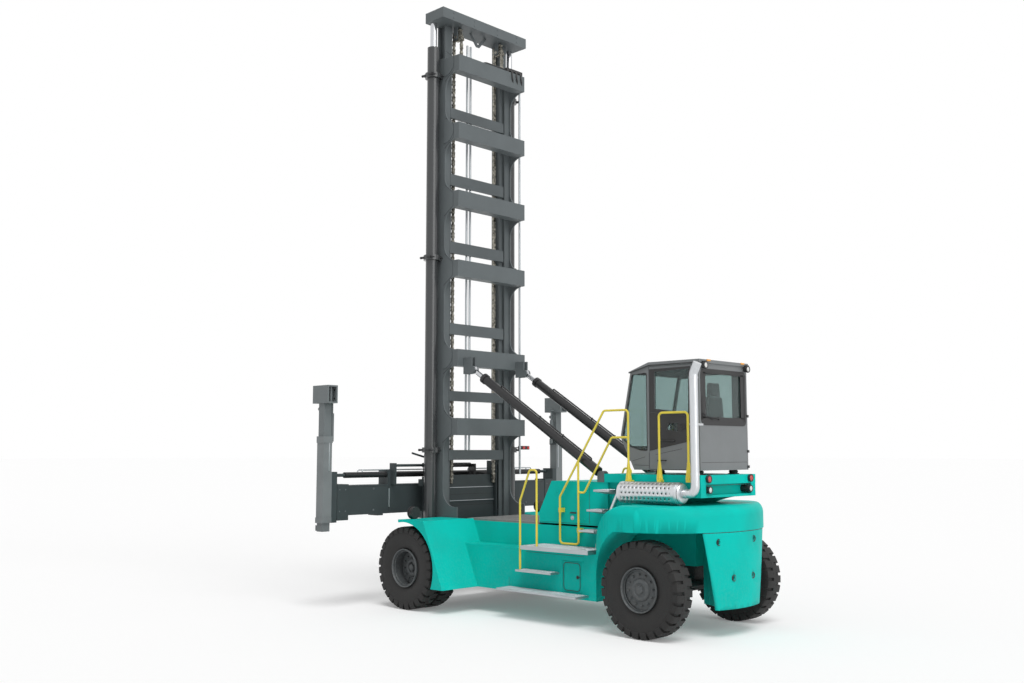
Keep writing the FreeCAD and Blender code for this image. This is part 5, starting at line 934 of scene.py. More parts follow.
# ---- cab ----------------------------------------------------------------------------------
def strip_loop(bm, outline, low, high, width, axis="Y"):
    """Closed frame of flat strip along an outline, mitred at its corners."""
    points = [Vector((u, v, 0)) for u, v in outline]
    n = len(points)
    inner, outer = [], []
    for i, p in enumerate(points):
        ways = [(p - points[i - 1]).normalized(), (points[(i + 1) % n] - p).normalized()]
        normals = [Vector((-w.y, w.x, 0)) for w in ways]
        push = (normals[0] + normals[1]).normalized()
        push /= max(0.3, push.dot(normals[0]))
        inner.append(p - push * width / 2)
        outer.append(p + push * width / 2)
    for i in range(n):
        j = (i + 1) % n
        add_prism(bm, [tuple(q)[:2] for q in (inner[i], inner[j], outer[j], outer[i])], low, high, axis)


def rounded(outline, radius):
    """Outline with its corners rounded."""
    made = []
    n = len(outline)
    for i in range(n):
        a, p, b = (Vector(outline[k % n]) for k in (i - 1, i, i + 1))
        into, out = (a - p).normalized(), (b - p).normalized()
        half = into.angle(out) / 2
        cut = min(radius / math.tan(half), (a - p).length / 2.01, (b - p).length / 2.01)
        start, end = p + into * cut, p + out * cut
        for k in range(CORNER_STEPS + 1):
            t = k / CORNER_STEPS
            made.append(tuple((1 - t) ** 2 * start + 2 * t * (1 - t) * p + t ** 2 * end))
    return made


def add_panel(bm, outline, hole, low, high):
    """Flat panel across Y round a window with as many corners as its outline."""
    n = len(outline)
    rings = [[bm.verts.new((x, y, z)) for x, z in ring] for y in (low, high) for ring in (outline, hole)]
    for i in range(n):
        j = (i + 1) % n
        for a, b in ((0, 1), (2, 3), (0, 2), (1, 3)):
            bm.faces.new((rings[a][i], rings[a][j], rings[b][j], rings[b][i]))


def seam(bm, points, wide=0.005, *, at, axis="Y"):
    """Fine dark line of a panel joint, lying on a flat side."""
    for (u0, v0), (u1, v1) in zip(points, points[1:]):
        way = Vector((u1 - u0, v1 - v0)).normalized()
        n = Vector((-way.y, way.x)) * wide / 2
        quad = [(u0 - n.x, v0 - n.y), (u1 - n.x, v1 - n.y), (u1 + n.x, v1 + n.y), (u0 + n.x, v0 + n.y)]
        add_prism(bm, quad, at - SEAM_PROUD, at + SEAM_PROUD, axis)


def cab_x(points):
    """Corners given ahead of the cab's rear wall, in the row frame."""
    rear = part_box("cab_shell")[0].x
    return [(rear + x, z) for x, z in points]


QUARTER_PANE = ((0.94, 3.79), (1.215, 3.772), (1.403, 2.86), (1.374, 2.788), (1.245, 2.69), (1.07, 2.64),
                (0.94, 2.63))
SIDE_PANE = ((0.24, 2.8), (0.89, 2.8), (0.89, 3.82), (0.24, 3.82))
DOOR_PANE = ((0.181, 3.817), (0.795, 3.799), (0.804, 3.251), (0.194, 3.168))
DOOR_PEEP = ((0.383, 3.033), (0.553, 3.028), (0.585, 2.941), (0.385, 2.906))


class HANDLER_OT_cab_trim(bpy.types.Operator):
    """Add window rubbers, seams, wiper, hinges, markers and mounts to the cab"""
    bl_idname = "handler.cab_trim"
    bl_label = "Cab trim"

    def execute(self, context):
        low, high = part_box("cab_shell")
        side, rear = high.y, low.x
        bm = bmesh.new()
        window = rounded([(-0.57, 3.02), (0.57, 3.02), (0.57, 3.79), (-0.57, 3.79)], 0.07)
        strip_loop(bm, window, rear - 0.005, rear + 0.012, 0.05, "X")
        for y0, y1, z0, z1 in ((-0.56, 0.56, 3.03, 3.115), (-0.56, 0.56, 3.745, 3.78),
                               (-0.56, -0.455, 3.1, 3.76), (0.47, 0.56, 3.1, 3.76)):
            add_box(bm, (rear - 0.001, y0, z0), (rear + 0.001, y1, z1))
        for y in (side, -side):
            strip_loop(bm, rounded(cab_x(QUARTER_PANE), 0.03), y - 0.003, y + 0.003, 0.012)
        strip_loop(bm, rounded(cab_x(SIDE_PANE), 0.05), -side - 0.004, -side + 0.004, 0.034)
        from_bmesh("window_rubbers", bm, "chassis", "cab_plastic", 40)
        bm = bmesh.new()
        for y in (side, -side):
            for line in (((0.908, 2.352), (0.908, 2.6)), ((1.22, 2.477), (0.982, 2.538)),
                         ((1.188, 2.417), (0.908, 2.41))):
                seam(bm, cab_x(line), at=y)
        seam(bm, [(-0.6, 2.46), (0.6, 2.46)], at=rear, axis="X")
        from_bmesh("cab_seams", bm, "chassis", "cab_plastic", 0)
        bm = bmesh.new()
        barrel = [(-0.05, 0), (-0.05, 0.008), (0.05, 0.008), (0.05, 0)]
        for z in (2.56, 3.16, 3.74):
            add_lathe(bm, barrel, (rear + 0.126, side + 0.006, z), (0, 0, 1), 16)
            add_box(bm, (rear + 0.09, side, z - 0.035), (rear + 0.122, side + 0.006, z + 0.035), 0.001)
        pivot = Vector((rear - 0.014, 0.144, 3.092))
        add_lathe(bm, [(0, 0.02), (0.02, 0.016), (0.02, 0)], (rear, pivot.y, pivot.z), (-1, 0, 0), 16)
        add_tube(bm, [pivot, (rear - 0.02, 0.38, 3.11), (rear - 0.008, 0.555, 3.125)], 0.006, 8)
        add_tube(bm, [(rear - 0.008, 0.3, 3.075), (rear - 0.007, 0.556, 3.17)], 0.005, 6)
        for y in (0.65, -0.65):
            add_tube(bm, [(rear - 0.01, y, 3.9), (rear + 0.88, y, 3.9), (rear + 1.25, y, 3.806)], 0.007, 8)
        for z in (3.15, 2.62, 2.39):
            add_box(bm, (rear - 0.012, -0.655, z - 0.02), (rear + 0.03, -0.6, z + 0.02), 0.006)
        from_bmesh("cab_fittings", bm, "chassis", "cab_plastic", 40)
        bm = bmesh.new()
        for y in (0.41, -0.49):
            add_box(bm, (rear - 0.032, y - 0.045, 3.925), (rear - 0.012, y + 0.045, 3.952), 0.006)
        from_bmesh("marker_lamps", bm, "chassis", "lamp_amber", 40)
        bm = bmesh.new()
        mount = [(2.28, 0), (2.28, 0.085), (2.292, 0.085), (2.297, 0.062), (2.325, 0.07), (2.343, 0.055),
                 (2.343, 0)]
        for x in (rear + 0.15, rear + 0.84):
            for y in (-0.45, 0.45):
                add_lathe(bm, mount, (x, y, 0), (0, 0, 1), 32)
        from_bmesh("cab_mount_rubbers", bm, "chassis", "hose_black", 40)
        return {"FINISHED"}


class HANDLER_OT_door(bpy.types.Operator):
    """Dress the cab door with its dark panel, handle and grips"""
    bl_idname = "handler.door"
    bl_label = "Door panel and handles"

    def execute(self, context):
        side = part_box("cab_shell")[1].y
        bm = bmesh.new()
        upper = cab_x(((0.148, 3.85), (0.89, 3.84), (0.89, 3.2), (0.148, 3.13)))
        lower = cab_x(((0.148, 3.128), (0.89, 3.198), (0.89, 2.628), (0.148, 2.768)))
        add_panel(bm, upper, cab_x(DOOR_PANE), side, side + 0.004)
        add_panel(bm, lower, cab_x(DOOR_PEEP), side, side + 0.004)
        from_bmesh("door_panel", bm, "door", "cab_plastic", 0)
        bm = bmesh.new()
        ((x, z),) = cab_x(((0.299, 2.976),))
        dish = [(0.004, 0.052), (0.012, 0.05), (0.013, 0.042), (0.007, 0.036), (0.007, 0)]
        for profile, segments in ((dish, 40), ([(0.004, 0.016), (0.011, 0.014), (0.012, 0)], 24)):
            add_lathe(bm, profile, (x, side, z), (0, 1, 0), segments)
        add_box(bm, (x - 0.01, side + 0.006, z - 0.012), (x + 0.085, side + 0.014, z + 0.012), 0.003)
        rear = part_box("cab_shell")[0].x
        for first, last, r, out, height in ((0.445, 0.735, 0.011, 0.026, 2.77),
                                            (0.6, 0.74, 0.009, 0.022, 2.486)):
            a, b = rear + first, rear + last
            route = [(a, side, height), (a, side + out, height), (b, side + out, height), (b, side, height)]
            add_tube(bm, rounded_route(route, 0.012), r, 12)
        from_bmesh("door_handles", bm, "door", "cab_plastic", 40)
        bm = bmesh.new()
        seam(bm, cab_x(((0.314, 2.656), (0.789, 2.572))), at=side)
        from_bmesh("door_crease", bm, "door", "cab_plastic", 0)
        return {"FINISHED"}


class HANDLER_OT_seat(bpy.types.Operator):
    """Build the padded operator's seat on its pedestal"""
    bl_idname = "handler.seat"
    bl_label = "Operator's seat"

    def execute(self, context):
        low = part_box("cab_seat")[0]
        floor, back = low.z, low.x
        bm = bmesh.new()
        add_box(bm, (back + 0.14, -0.17, floor), (back + 0.44, 0.17, floor + 0.06), 0.01)
        for k in range(5):
            z, inset = floor + 0.06 + k * 0.045, 0.006 * (k % 2)
            add_box(bm, (back + 0.15 + inset, -0.16, z), (back + 0.43 - inset, 0.16, z + 0.04), 0.012)
        add_box(bm, (back + 0.12, -0.2, floor + 0.285), (back + 0.5, 0.2, floor + 0.325), 0.01)
        for y in (-0.06, 0.06):
            add_tube(bm, [(back + 0.055, y, floor + 1.0), (back + 0.055, y, floor + 1.1)], 0.008, 10)
        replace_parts(from_bmesh("seat_pedestal", bm, "chassis", "cab_plastic", 40), "cab_seat")
        pads = (("seat_cushion", (back + 0.11, -0.25, floor + 0.325), (0.48, 0.5, 0.125), 0.022),
                ("seat_back", (back, -0.235, floor + 0.42), (0.115, 0.47, 0.62), 0.02),
                ("seat_headrest", (back + 0.01, -0.14, floor + 1.03), (0.09, 0.28, 0.215), 0.016))
        for name, corner, size, crown in pads:
            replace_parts(cushion(name, corner, size, crown), "cab_seat")
        return {"FINISHED"}


def cushion(name, corner, size, crown):
    """Crowned pad with two sewn channels, softened by subdivision."""
    bm = bmesh.new()
    bmesh.ops.create_cube(bm, size=1.0)
    bmesh.ops.subdivide_edges(bm, edges=bm.edges[:], cuts=7, use_grid_fill=True)
    corner, size = Vector(corner), Vector(size)
    thin = min(range(3), key=lambda i: size[i])
    wide = [i for i in range(3) if i != thin]
    for v in bm.verts:
        u, w = v.co[wide[0]] * 2, v.co[wide[1]] * 2
        dome = (1 - u ** 4) * (1 - w ** 4)
        stitch = math.exp(-((abs(w) - 0.55) / 0.07) ** 2) * 0.35
        swell = crown * (dome - stitch * (1 - u ** 6)) / size[thin]
        v.co[thin] *= 1 - 2 * crown / size[thin] + 2 * swell
        for i in wide:
            other = w if i == wide[0] else u
            v.co[i] *= 0.985 - 0.03 * (1 - other ** 2) * abs(v.co[i] * 2) ** 6
        if size.z > 0.2:
            v.co.y *= 1.0 - 0.22 * (v.co.z + 0.5) ** 3
        v.co = corner + Vector((v.co.x * size.x, v.co.y * size.y, v.co.z * size.z)) + size / 2
    piece = from_bmesh(name, bm, "chassis", "seat_cloth", 180)
    soft = piece.modifiers.new("soft", "SUBSURF")
    soft.levels = soft.render_levels = 2
    return piece


class HANDLER_OT_controls(bpy.types.Operator):
    """Add the joystick, the display and the switch rows of the cab"""
    bl_idname = "handler.controls"
    bl_label = "Controls"

    def execute(self, context):
        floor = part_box("cab_console")[0].z
        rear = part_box("cab_shell")[0].x
        bm = bmesh.new()
        top = floor + 0.57
        place = (rear + 0.56, -0.355, top)
        add_lathe(bm, [(0, 0.045), (0.012, 0.035), (0.03, 0.012), (0.09, 0.012), (0.1, 0.022), (0.17, 0.026),
                       (0.185, 0.012), (0.185, 0)], place, (0.08, 0, 1), 20)
        for k in range(6):
            add_box(bm, (rear + 0.30 + 0.035 * (k % 3), -0.385 + 0.045 * (k // 3), top - 0.01),
                    (rear + 0.322 + 0.035 * (k % 3), -0.355 + 0.045 * (k // 3), top + 0.006), 0.002)
        turn = Matrix.Rotation(math.radians(18), 4, "Z")
        base = Vector((rear + 1.02, -0.42, 3.0))
        add_box(bm, (-0.018, -0.13, -0.09), (0.018, 0.13, 0.09), 0.008, Matrix.Translation(base) @ turn)
        add_tube(bm, [base, (rear + 1.02, -0.42, 2.7), (rear + 0.98, -0.45, floor)], 0.014, 10)
        from_bmesh("cab_controls", bm, "chassis", "cab_plastic", 40)
        return {"FINISHED"}


# ---- chassis and hood ---------------------------------------------------------------------
class HANDLER_OT_steps(bpy.types.Operator):
    """Add the serrated tops of the steps and hood treads"""
    bl_idname = "handler.steps"
    bl_label = "Step grips"

    def execute(self, context):
        pitch = context.scene.handler_rails.grip_pitch
        treads = [(-3.39, -1.73, 1.06, 1.34, 0.475), (-2.8, -2.05, 1.06, 1.24, 0.775),
                  (-3.52, -2.13, 0.71, 1.21, 1.15)]
        for side in ("left", "right"):
            for k, (rear, front, near, far, top) in enumerate(treads):
                low, high = (near, far) if side == "left" else (-far, -near)
                self.grip(f"step_grip_{k}_{side}", ahead(rear), ahead(front), low, high, top, pitch)
        for k, (x, z) in enumerate(((-3.29, 1.43), (-3.45, 1.745), (-3.59, 2.045))):
            self.grip(f"tread_grip_{k}", ahead(x) - 0.13, ahead(x) + 0.13, 0.72, 0.97, z, pitch)
        return {"FINISHED"}

    def grip(self, name, rear, front, low, high, top, pitch):
        """Staggered rows of raised teeth over one flat top."""
        columns, rows = int((front - rear) / pitch) - 1, max(2, int((high - low) / pitch * 1.15))
        bm = bmesh.new()
        r, step = pitch * 0.3, (high - low) / rows
        tooth = [(-0.001, r), (0.0045, r * 0.72), (0.0045, r * 0.35), (0.001, 0)]
        add_lathe(bm, tooth, (0, 0, 0), (0, 0, 1), 6)
        repeated(name, bm, "handler_grid",
                 {"Columns": columns, "Rows": rows, "Column Step": (pitch, 0, 0), "Row Step": (0, step, 0),
                  "Shift": (pitch / 2, 0, 0), "Corner": (rear + pitch * 0.7, low + step / 2, top)},
                 "step_alloy", "chassis", 0)


TAIL_DEPTH = 1.1        # from the widest place of the tail to its middle
TAIL_ROUND = 2.1        # 2 is an ellipse, more is squarer
COVER_CORNER = 0.48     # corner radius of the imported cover's plan
COVER_RIM = 0.045       # outermost strip of the cover, bent as one piece
WEIGHT_BOW = 0.042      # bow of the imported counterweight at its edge
WEIGHT_HALF = 0.975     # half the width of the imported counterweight


def tail_x(y, rear, half):
    """Place along X of the rounded tail, at a distance from the middle."""
    share = min(1.0, abs(y) / half) ** TAIL_ROUND
    return rear + 0.003 + TAIL_DEPTH * (1 - (1 - share) ** (1 / TAIL_ROUND))


def drawn_in(x, flat, target, limit):
    """Moves a place behind a limit so that a flat rear face comes to its target."""
    if x >= limit or flat >= limit:
        return x
    target = min(target, limit - 0.05)
    return limit - (limit - x) * (limit - target) / (limit - flat)


class HANDLER_OT_tail(bpy.types.Operator):
    """Round the plan of the rear cover and the counterweight"""
    bl_idname = "handler.tail"
    bl_label = "Rounded tail"

    def execute(self, context):
        low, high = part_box("rear_cover")
        rear, half = low.x, high.y
        widest, front = ahead(-4.35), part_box("counterweight")[1].x

        def cover(p):
            y = min(abs(p.y), half - COVER_RIM)
            over = max(0.0, y - (half - COVER_CORNER))
            flat = rear + COVER_CORNER - math.sqrt(COVER_CORNER ** 2 - over ** 2)
            p.x = drawn_in(p.x, flat, tail_x(y, rear, half), widest)

        def weight(p):
            flat = rear + WEIGHT_BOW * (p.y / WEIGHT_HALF) ** 2
            p.y *= weight_share(p.z)
            p.x = drawn_in(p.x, flat, tail_x(p.y, rear, half), front)

        across = [half * math.sin(math.pi * k / 36) for k in range(-17, 18)]
        for name, node, bend in (("rear_cover_form", "rear_cover", cover),
                                 ("weight_form", "counterweight", weight)):
            bm = bmesh.new()
            bm.from_mesh(frame["nodes"][node].data)
            bmesh.ops.remove_doubles(bm, verts=bm.verts, dist=1e-5)
            for axis, places in (((0, 1, 0), across), ((1, 0, 0), [rear + 0.1 * k for k in range(1, 12)])):
                for place in places:
                    bmesh.ops.bisect_plane(bm, geom=bm.verts[:] + bm.edges[:] + bm.faces[:],
                                           plane_co=Vector(axis) * place, plane_no=axis)
            for v in bm.verts:
                bend(v.co)
            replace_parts(from_bmesh(name, bm, "chassis", "body_paint", 38), node)
        return {"FINISHED"}


def weight_share(z):
    """How far the counterweight is drawn in towards the middle at a height."""
    return 0.85 - 0.046 * (z - 0.4)


def section_line(name, piece, z, low_x, wide):
    """Fine dark joint line where a level plane meets a piece, behind a place along X."""
    bm = bmesh.new()
    bm.from_mesh(bpy.data.objects[piece].data)
    bmesh.ops.remove_doubles(bm, verts=bm.verts, dist=1e-5)
    cut = bmesh.ops.bisect_plane(bm, geom=bm.verts[:] + bm.edges[:] + bm.faces[:], plane_co=(0, 0, z),
                                 plane_no=(0, 0, 1))["geom_cut"]
    line = bmesh.new()
    for edge in (g for g in cut if isinstance(g, bmesh.types.BMEdge)):
        a, b = (v.co.copy() for v in edge.verts)
        if max(a.x, b.x) > low_x or not edge.link_faces:
            continue
        out = sum((f.normal for f in edge.link_faces), Vector())
        out = Vector((out.x, out.y, 0)).normalized() * SEAM_PROUD
        up = Vector((0, 0, wide / 2))
        corners = [line.verts.new(p) for p in (a + out - up, b + out - up, b + out + up, a + out + up)]
        line.faces.new(corners)
    bm.free()
    from_bmesh(name, line, "chassis", "frame_black", 0)


class HANDLER_OT_hood_trim(bpy.types.Operator):
    """Add seams, latches, locks, bolts and tie-hole rims to the hood and covers, and painted-shade discs in
    the holes
    """
    bl_idname = "handler.hood_trim"
    bl_label = "Hood and cover trim"

    def execute(self, context):
        bm = bmesh.new()
        for side, start, end, wide in ((HOOD_SIDE, (-2.07, 1.5), (-3.1, 1.5), 0.0045),
                                       (HOOD_SIDE, (-3.12, 1.5), (-3.12, 2.12), 0.006),
                                       (HULL_SIDE, (-1.72, 0.41), (-1.72, 0.62), 0.005),
                                       (HULL_SIDE, (-2.1, 1.04), (-3.3, 1.04), 0.006)):
            for y in (side, -side):
                seam(bm, [(ahead(x), z) for x, z in (start, end)], wide, at=y)
        seam(bm, [(-0.58, 2.135), (0.58, 2.135)], 0.006, at=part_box("hood")[0].x - 0.0005, axis="X")
        from_bmesh("hood_seams", bm, "chassis", "frame_black", 0)
        weight_low, weight_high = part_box("counterweight")
        section_line("cover_seam", "weight_form", weight_high.z - 0.004, ahead(-4.3), 0.009)
        bm = bmesh.new()
        x, z = ahead(-2.79), 1.661
        for y in (HOOD_SIDE, -HOOD_SIDE):
            add_box(bm, (x - 0.062, y - 0.002, z - 0.012), (x + 0.062, y + 0.012, z + 0.012), 0.005)
        from_bmesh("hood_latches", bm, "chassis", "cab_plastic", 40)
        bm = bmesh.new()
        for x, z in ((-3.02, 1.56), (-2.16, 1.56), (-3.02, 1.98), (-2.45, 1.98), (-3.5, 1.36)):
            add_bolt(bm, (ahead(x), HOOD_SIDE, z), (0, 1, 0), 0.011, 0.007)
        for x in (-3.28, -1.76):
            for z in (0.52, 0.96):
                add_bolt(bm, (ahead(x), HULL_SIDE, z), (0, 1, 0), 0.010, 0.006)
        both_sides(bm)
        from_bmesh("cover_bolts", bm, "chassis", "body_paint", 30)
        bm = bmesh.new()
        lock = [(0, 0.034), (0.004, 0.034), (0.007, 0.028), (0.004, 0.018), (0.009, 0.014), (0.009, 0)]
        for out in (1, -1):
            add_lathe(bm, lock, (ahead(-2.77), out * HOOD_SIDE, 1.582), (0, out, 0), 28)
        from_bmesh("hood_locks", bm, "chassis", "step_alloy", 40)
        bm = bmesh.new()
        rim = [(-0.012, 0.03), (-0.003, 0.034), (0.003, 0.04), (0.003, 0.047), (-0.012, 0.047)]
        for y, z in ((0.3, 0.833), (-0.3, 0.833), (-0.373, 1.355), (0.66, 1.345)):
            y *= weight_share(z)
            place = (tail_x(y, weight_low.x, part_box("rear_cover")[1].y), y, z)
            add_lathe(bm, rim, place, (-1, 0, 0), 32, closed=True)
            # Painted shade: a black disc 2 cm deep closes each hole and stands in for its dark depth.
            add_lathe(bm, [(-0.02, 0.031), (-0.02, 0)], place, (-1, 0, 0), 32)
        from_bmesh("tie_hole_rims", bm, "chassis", "frame_black", 40)
        return {"FINISHED"}


class HANDLER_OT_hatch_trim(bpy.types.Operator):
    """Add the latch and the dark edge of the side hatch"""
    bl_idname = "handler.hatch_trim"
    bl_label = "Hatch trim"

    def execute(self, context):
        low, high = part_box("service_hatch")
        bm = bmesh.new()
        inset = 0.022
        rear, front, foot, top = low.x + inset, high.x - inset, low.z + inset, high.z - inset
        edge = [(rear, foot), (front, foot), (front, top), (rear, top)]
        strip_loop(bm, rounded(edge, 0.06), high.y - 0.001, high.y + 0.0012, 0.009)
        from_bmesh("hatch_edge", bm, "hatch", "frame_black", 0)
        bm = bmesh.new()
        x, z = low.x + 0.07, (low.z + high.z) / 2
        dish = [(0, 0.026), (0.004, 0.026), (0.006, 0.022), (0.006, 0.014), (0.012, 0.012), (0.012, 0)]
        add_lathe(bm, dish, (x, high.y, z), (0, 1, 0), 24)
        add_box(bm, (x - 0.045, high.y + 0.003, z - 0.006), (x + 0.02, high.y + 0.012, z + 0.006), 0.003)
        from_bmesh("hatch_latch", bm, "hatch", "cab_plastic", 40)
        return {"FINISHED"}


class HANDLER_OT_lamps(bpy.types.Operator):
    """Add bezels and lenses to the lamps"""
    bl_idname = "handler.lamps"
    bl_label = "Lamps"

    def execute(self, context):
        kinds = ((-3.04, 0.55, 2.225, -1, 0.05), (-3.04, 0.534, 2.07, -1, 0.045),
                 (-3.02, 0.56, 3.857, -1, 0.045), (2.3, 1.56, 1.586, 1, 0.1))
        spots = [((x, side * y, z), (way, 0, 0), r) for x, y, z, way, r in kinds for side in (1, -1)]
        bm = bmesh.new()
        for place, way, r in spots:
            ring = [(-0.02, r + 0.001), (-0.02, r + 0.009), (0.002, r + 0.007), (0.004, r + 0.001),
                    (-0.004, r - 0.006)]
            add_lathe(bm, ring, place, way, 40, closed=True)
        from_bmesh("lamp_bezels", bm, "chassis", "cab_plastic", 40)
        for name, part, slot in (("tail_lenses", spots[:2], "lamp_red"),
                                 ("clear_lenses", spots[2:], "lamp_clear")):
            bm = bmesh.new()
            for place, way, r in part:
                dome = [(-0.006, r - 0.005), (0.0, r * 0.8), (0.003, r * 0.45), (0.004, 0)]
                add_lathe(bm, dome, place, way, 40)
            from_bmesh(name, bm, "chassis", slot, 60)
        return {"FINISHED"}


class HANDLER_OT_rail_feet(bpy.types.Operator):
    """Add the collars of the guard hoop"""
    bl_idname = "handler.rail_feet"
    bl_label = "Rail feet"

    def execute(self, context):
        radius = context.scene.handler_rails.rail_radius
        bm = bmesh.new()
        for x in (-2.84, -2.33):
            for z in (2.245, 2.445):
                add_band(bm, (x, 0.78, z), 0.0, 0.012, radius, radius + 0.006, (0, 0, 1), 24)
        from_bmesh("gate_collars", bm, "guard_gate", "rail_yellow", 40)
        return {"FINISHED"}


# ---- mast ---------------------------------------------------------------------------------
class HANDLER_OT_mast_trim(bpy.types.Operator):
    """Add the seams, clamps, pipes, valve and lamps of the mast"""
    bl_idname = "handler.mast_trim"
    bl_label = "Mast pipes and clamps"

    def execute(self, context):
        bm = bmesh.new()
        for foot in MEMBER_FEET:
            top = foot + MEMBER_HEIGHT
            seam(bm, [(2.3, top + 0.14), (2.09, top - 0.03), (2.09, foot + 0.03), (2.33, foot - 0.13)], 0.006,
                 at=SIDE_PLATE + 0.0005)
        both_sides(bm)
        from_bmesh("mast_seams", bm, "mast", "frame_black", 0)
        bm = bmesh.new()
        for z in CLAMP_FEET:
            add_box(bm, (LIFT_X - 0.15, 1.111, z + 0.025), (LIFT_X + 0.15, 1.133, z + 0.065), 0.004)
            for x in (LIFT_X - 0.132, LIFT_X + 0.132):
                add_tube(bm, [(x, SIDE_PLATE, z + 0.045), (x, 1.145, z + 0.045)], 0.01, 10)
                add_bolt(bm, (x, 1.133, z + 0.045), (0, 1, 0), 0.015, 0.012)
        both_sides(bm)
        from_bmesh("clamp_bolts", bm, "mast", "frame_black", 40)
        bm = bmesh.new()
        route = [(2.2, -0.972, 2.2), (2.2, -0.972, 9.6), (2.1, -0.87, 9.72), (2.1, -0.5, 9.78)]
        add_tube(bm, rounded_route(route, 0.06), 0.02, 12)
        for foot in MEMBER_FEET:
            add_box(bm, (2.185, -0.965, foot + 0.1), (2.215, -0.82, foot + 0.13), 0.003)
        from_bmesh("mast_pipes", bm, "mast", "step_alloy", 40)
        bm = bmesh.new()
        top = MEMBER_FEET[0] + MEMBER_HEIGHT
        add_box(bm, (1.99, -0.84, top), (2.1, -0.42, top + 0.1), 0.01)
        route = [(2.04, -0.42, top + 0.055), (2.04, 0.1, top + 0.055), (2.12, 0.1, top + 0.055),
                 (2.17, 0.045, top)]
        add_tube(bm, rounded_route(route, 0.05), 0.02, 12)
        for k in range(3):
            y = -0.5 - 0.12 * k
            route = [(2.0, y, top + 0.05), (1.95, y, top + 0.02), (1.93, y - 0.01, top - 0.12),
                     (1.97, y - 0.05, top - 0.2)]
            add_tube(bm, rounded_route(route, 0.04), 0.015, 10)
        from_bmesh("mast_valve", bm, "mast", "hose_black", 40)
        bm = bmesh.new()
        add_box(bm, (2.385, -1.2, 2.68), (2.415, -0.84, 2.7), 0.002)
        add_box(bm, (2.37, -1.42, 2.655), (2.43, -1.16, 2.725), 0.008)
        from_bmesh("mast_lamp_housing", bm, "mast", "cab_plastic", 40)
        bm = bmesh.new()
        for y in (-1.38, -1.26):
            add_box(bm, (2.362, y - 0.03, 2.665), (2.372, y + 0.03, 2.715), 0.004)
        from_bmesh("mast_lamps", bm, "mast", "lamp_red", 40)
        return {"FINISHED"}


class HANDLER_OT_head_trim(bpy.types.Operator):
    """Add the bolts of the head beam, the inner pipes and the hubs of the sheaves"""
    bl_idname = "handler.head_trim"
    bl_label = "Head beam trim"

    def execute(self, context):
        low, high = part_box("top_beam")
        bm = bmesh.new()
        for y in (-LIFT_Y, LIFT_Y):
            for turn in (math.pi * k / 3 for k in range(6)):
                place = (LIFT_X + 0.075 * math.cos(turn), y + 0.075 * math.sin(turn), high.z - 0.002)
                add_bolt(bm, place, (0, 0, 1), 0.011, 0.001)
        for y in (-0.82, -0.3, 0.3, 0.82):
            for z in (high.z - 0.05, high.z - 0.14):
                add_bolt(bm, (low.x, y, z), (-1, 0, 0), 0.012, 0.006)
        from_bmesh("head_bolts", bm, "inner_mast", "mast_grey", 30)
        bars_low, bars_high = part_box("inner_bars")
        bm = bmesh.new()
        for y in (0.13, 0.215):
            add_tube(bm, [(bars_high.x + 0.021, y, bars_low.z), (bars_high.x + 0.021, y, low.z)], 0.021, 16)
        from_bmesh("inner_pipes", bm, "inner_mast", "step_alloy", 40)
        bm = bmesh.new()
        hub = [(-0.008, 0.03), (0.008, 0.03), (0.012, 0.018), (0.012, 0)]
        for y in (-0.525, 0.525):
            for side in (-1, 1):
                add_lathe(bm, hub, (2.348, y + side * 0.05, 10.27), (0, side, 0), 24)
        from_bmesh("sheave_hubs", bm, "inner_mast", "chain_steel", 40)
        return {"FINISHED"}


TILT_FOOT = Vector((ahead(-3.36), 0.655, 2.255))     # pins of the left tilt cylinder
TILT_EYE = Vector((ahead(-0.46), 0.655, 4.04))


class HANDLER_OT_tilt_trim(bpy.types.Operator):
    """Add the pipes of the tilt cylinders and the studs that carry them"""
    bl_idname = "handler.tilt_trim"
    bl_label = "Tilt cylinder fittings"

    def execute(self, context):
        way = (TILT_EYE - TILT_FOOT).normalized()
        up = Vector((-way.z, 0, way.x))
        bm = bmesh.new()
        start, end = TILT_FOOT + way * 0.32, TILT_FOOT.lerp(TILT_EYE, 0.78)
        lift = 0.098
        route = [start + up * 0.05, start + up * lift, end + up * lift, end + up * 0.05]
        add_tube(bm, rounded_route(route, 0.04), 0.013, 10)
        for share in (0.3, 0.55):
            middle = start.lerp(end, share)
            add_tube(bm, [middle + up * 0.07, middle + up * (lift + 0.018)], 0.012, 8)
        both_sides(bm)
        from_bmesh("tilt_pipes", bm, "tilt_barrels", "frame_black", 40)
        return {"FINISHED"}


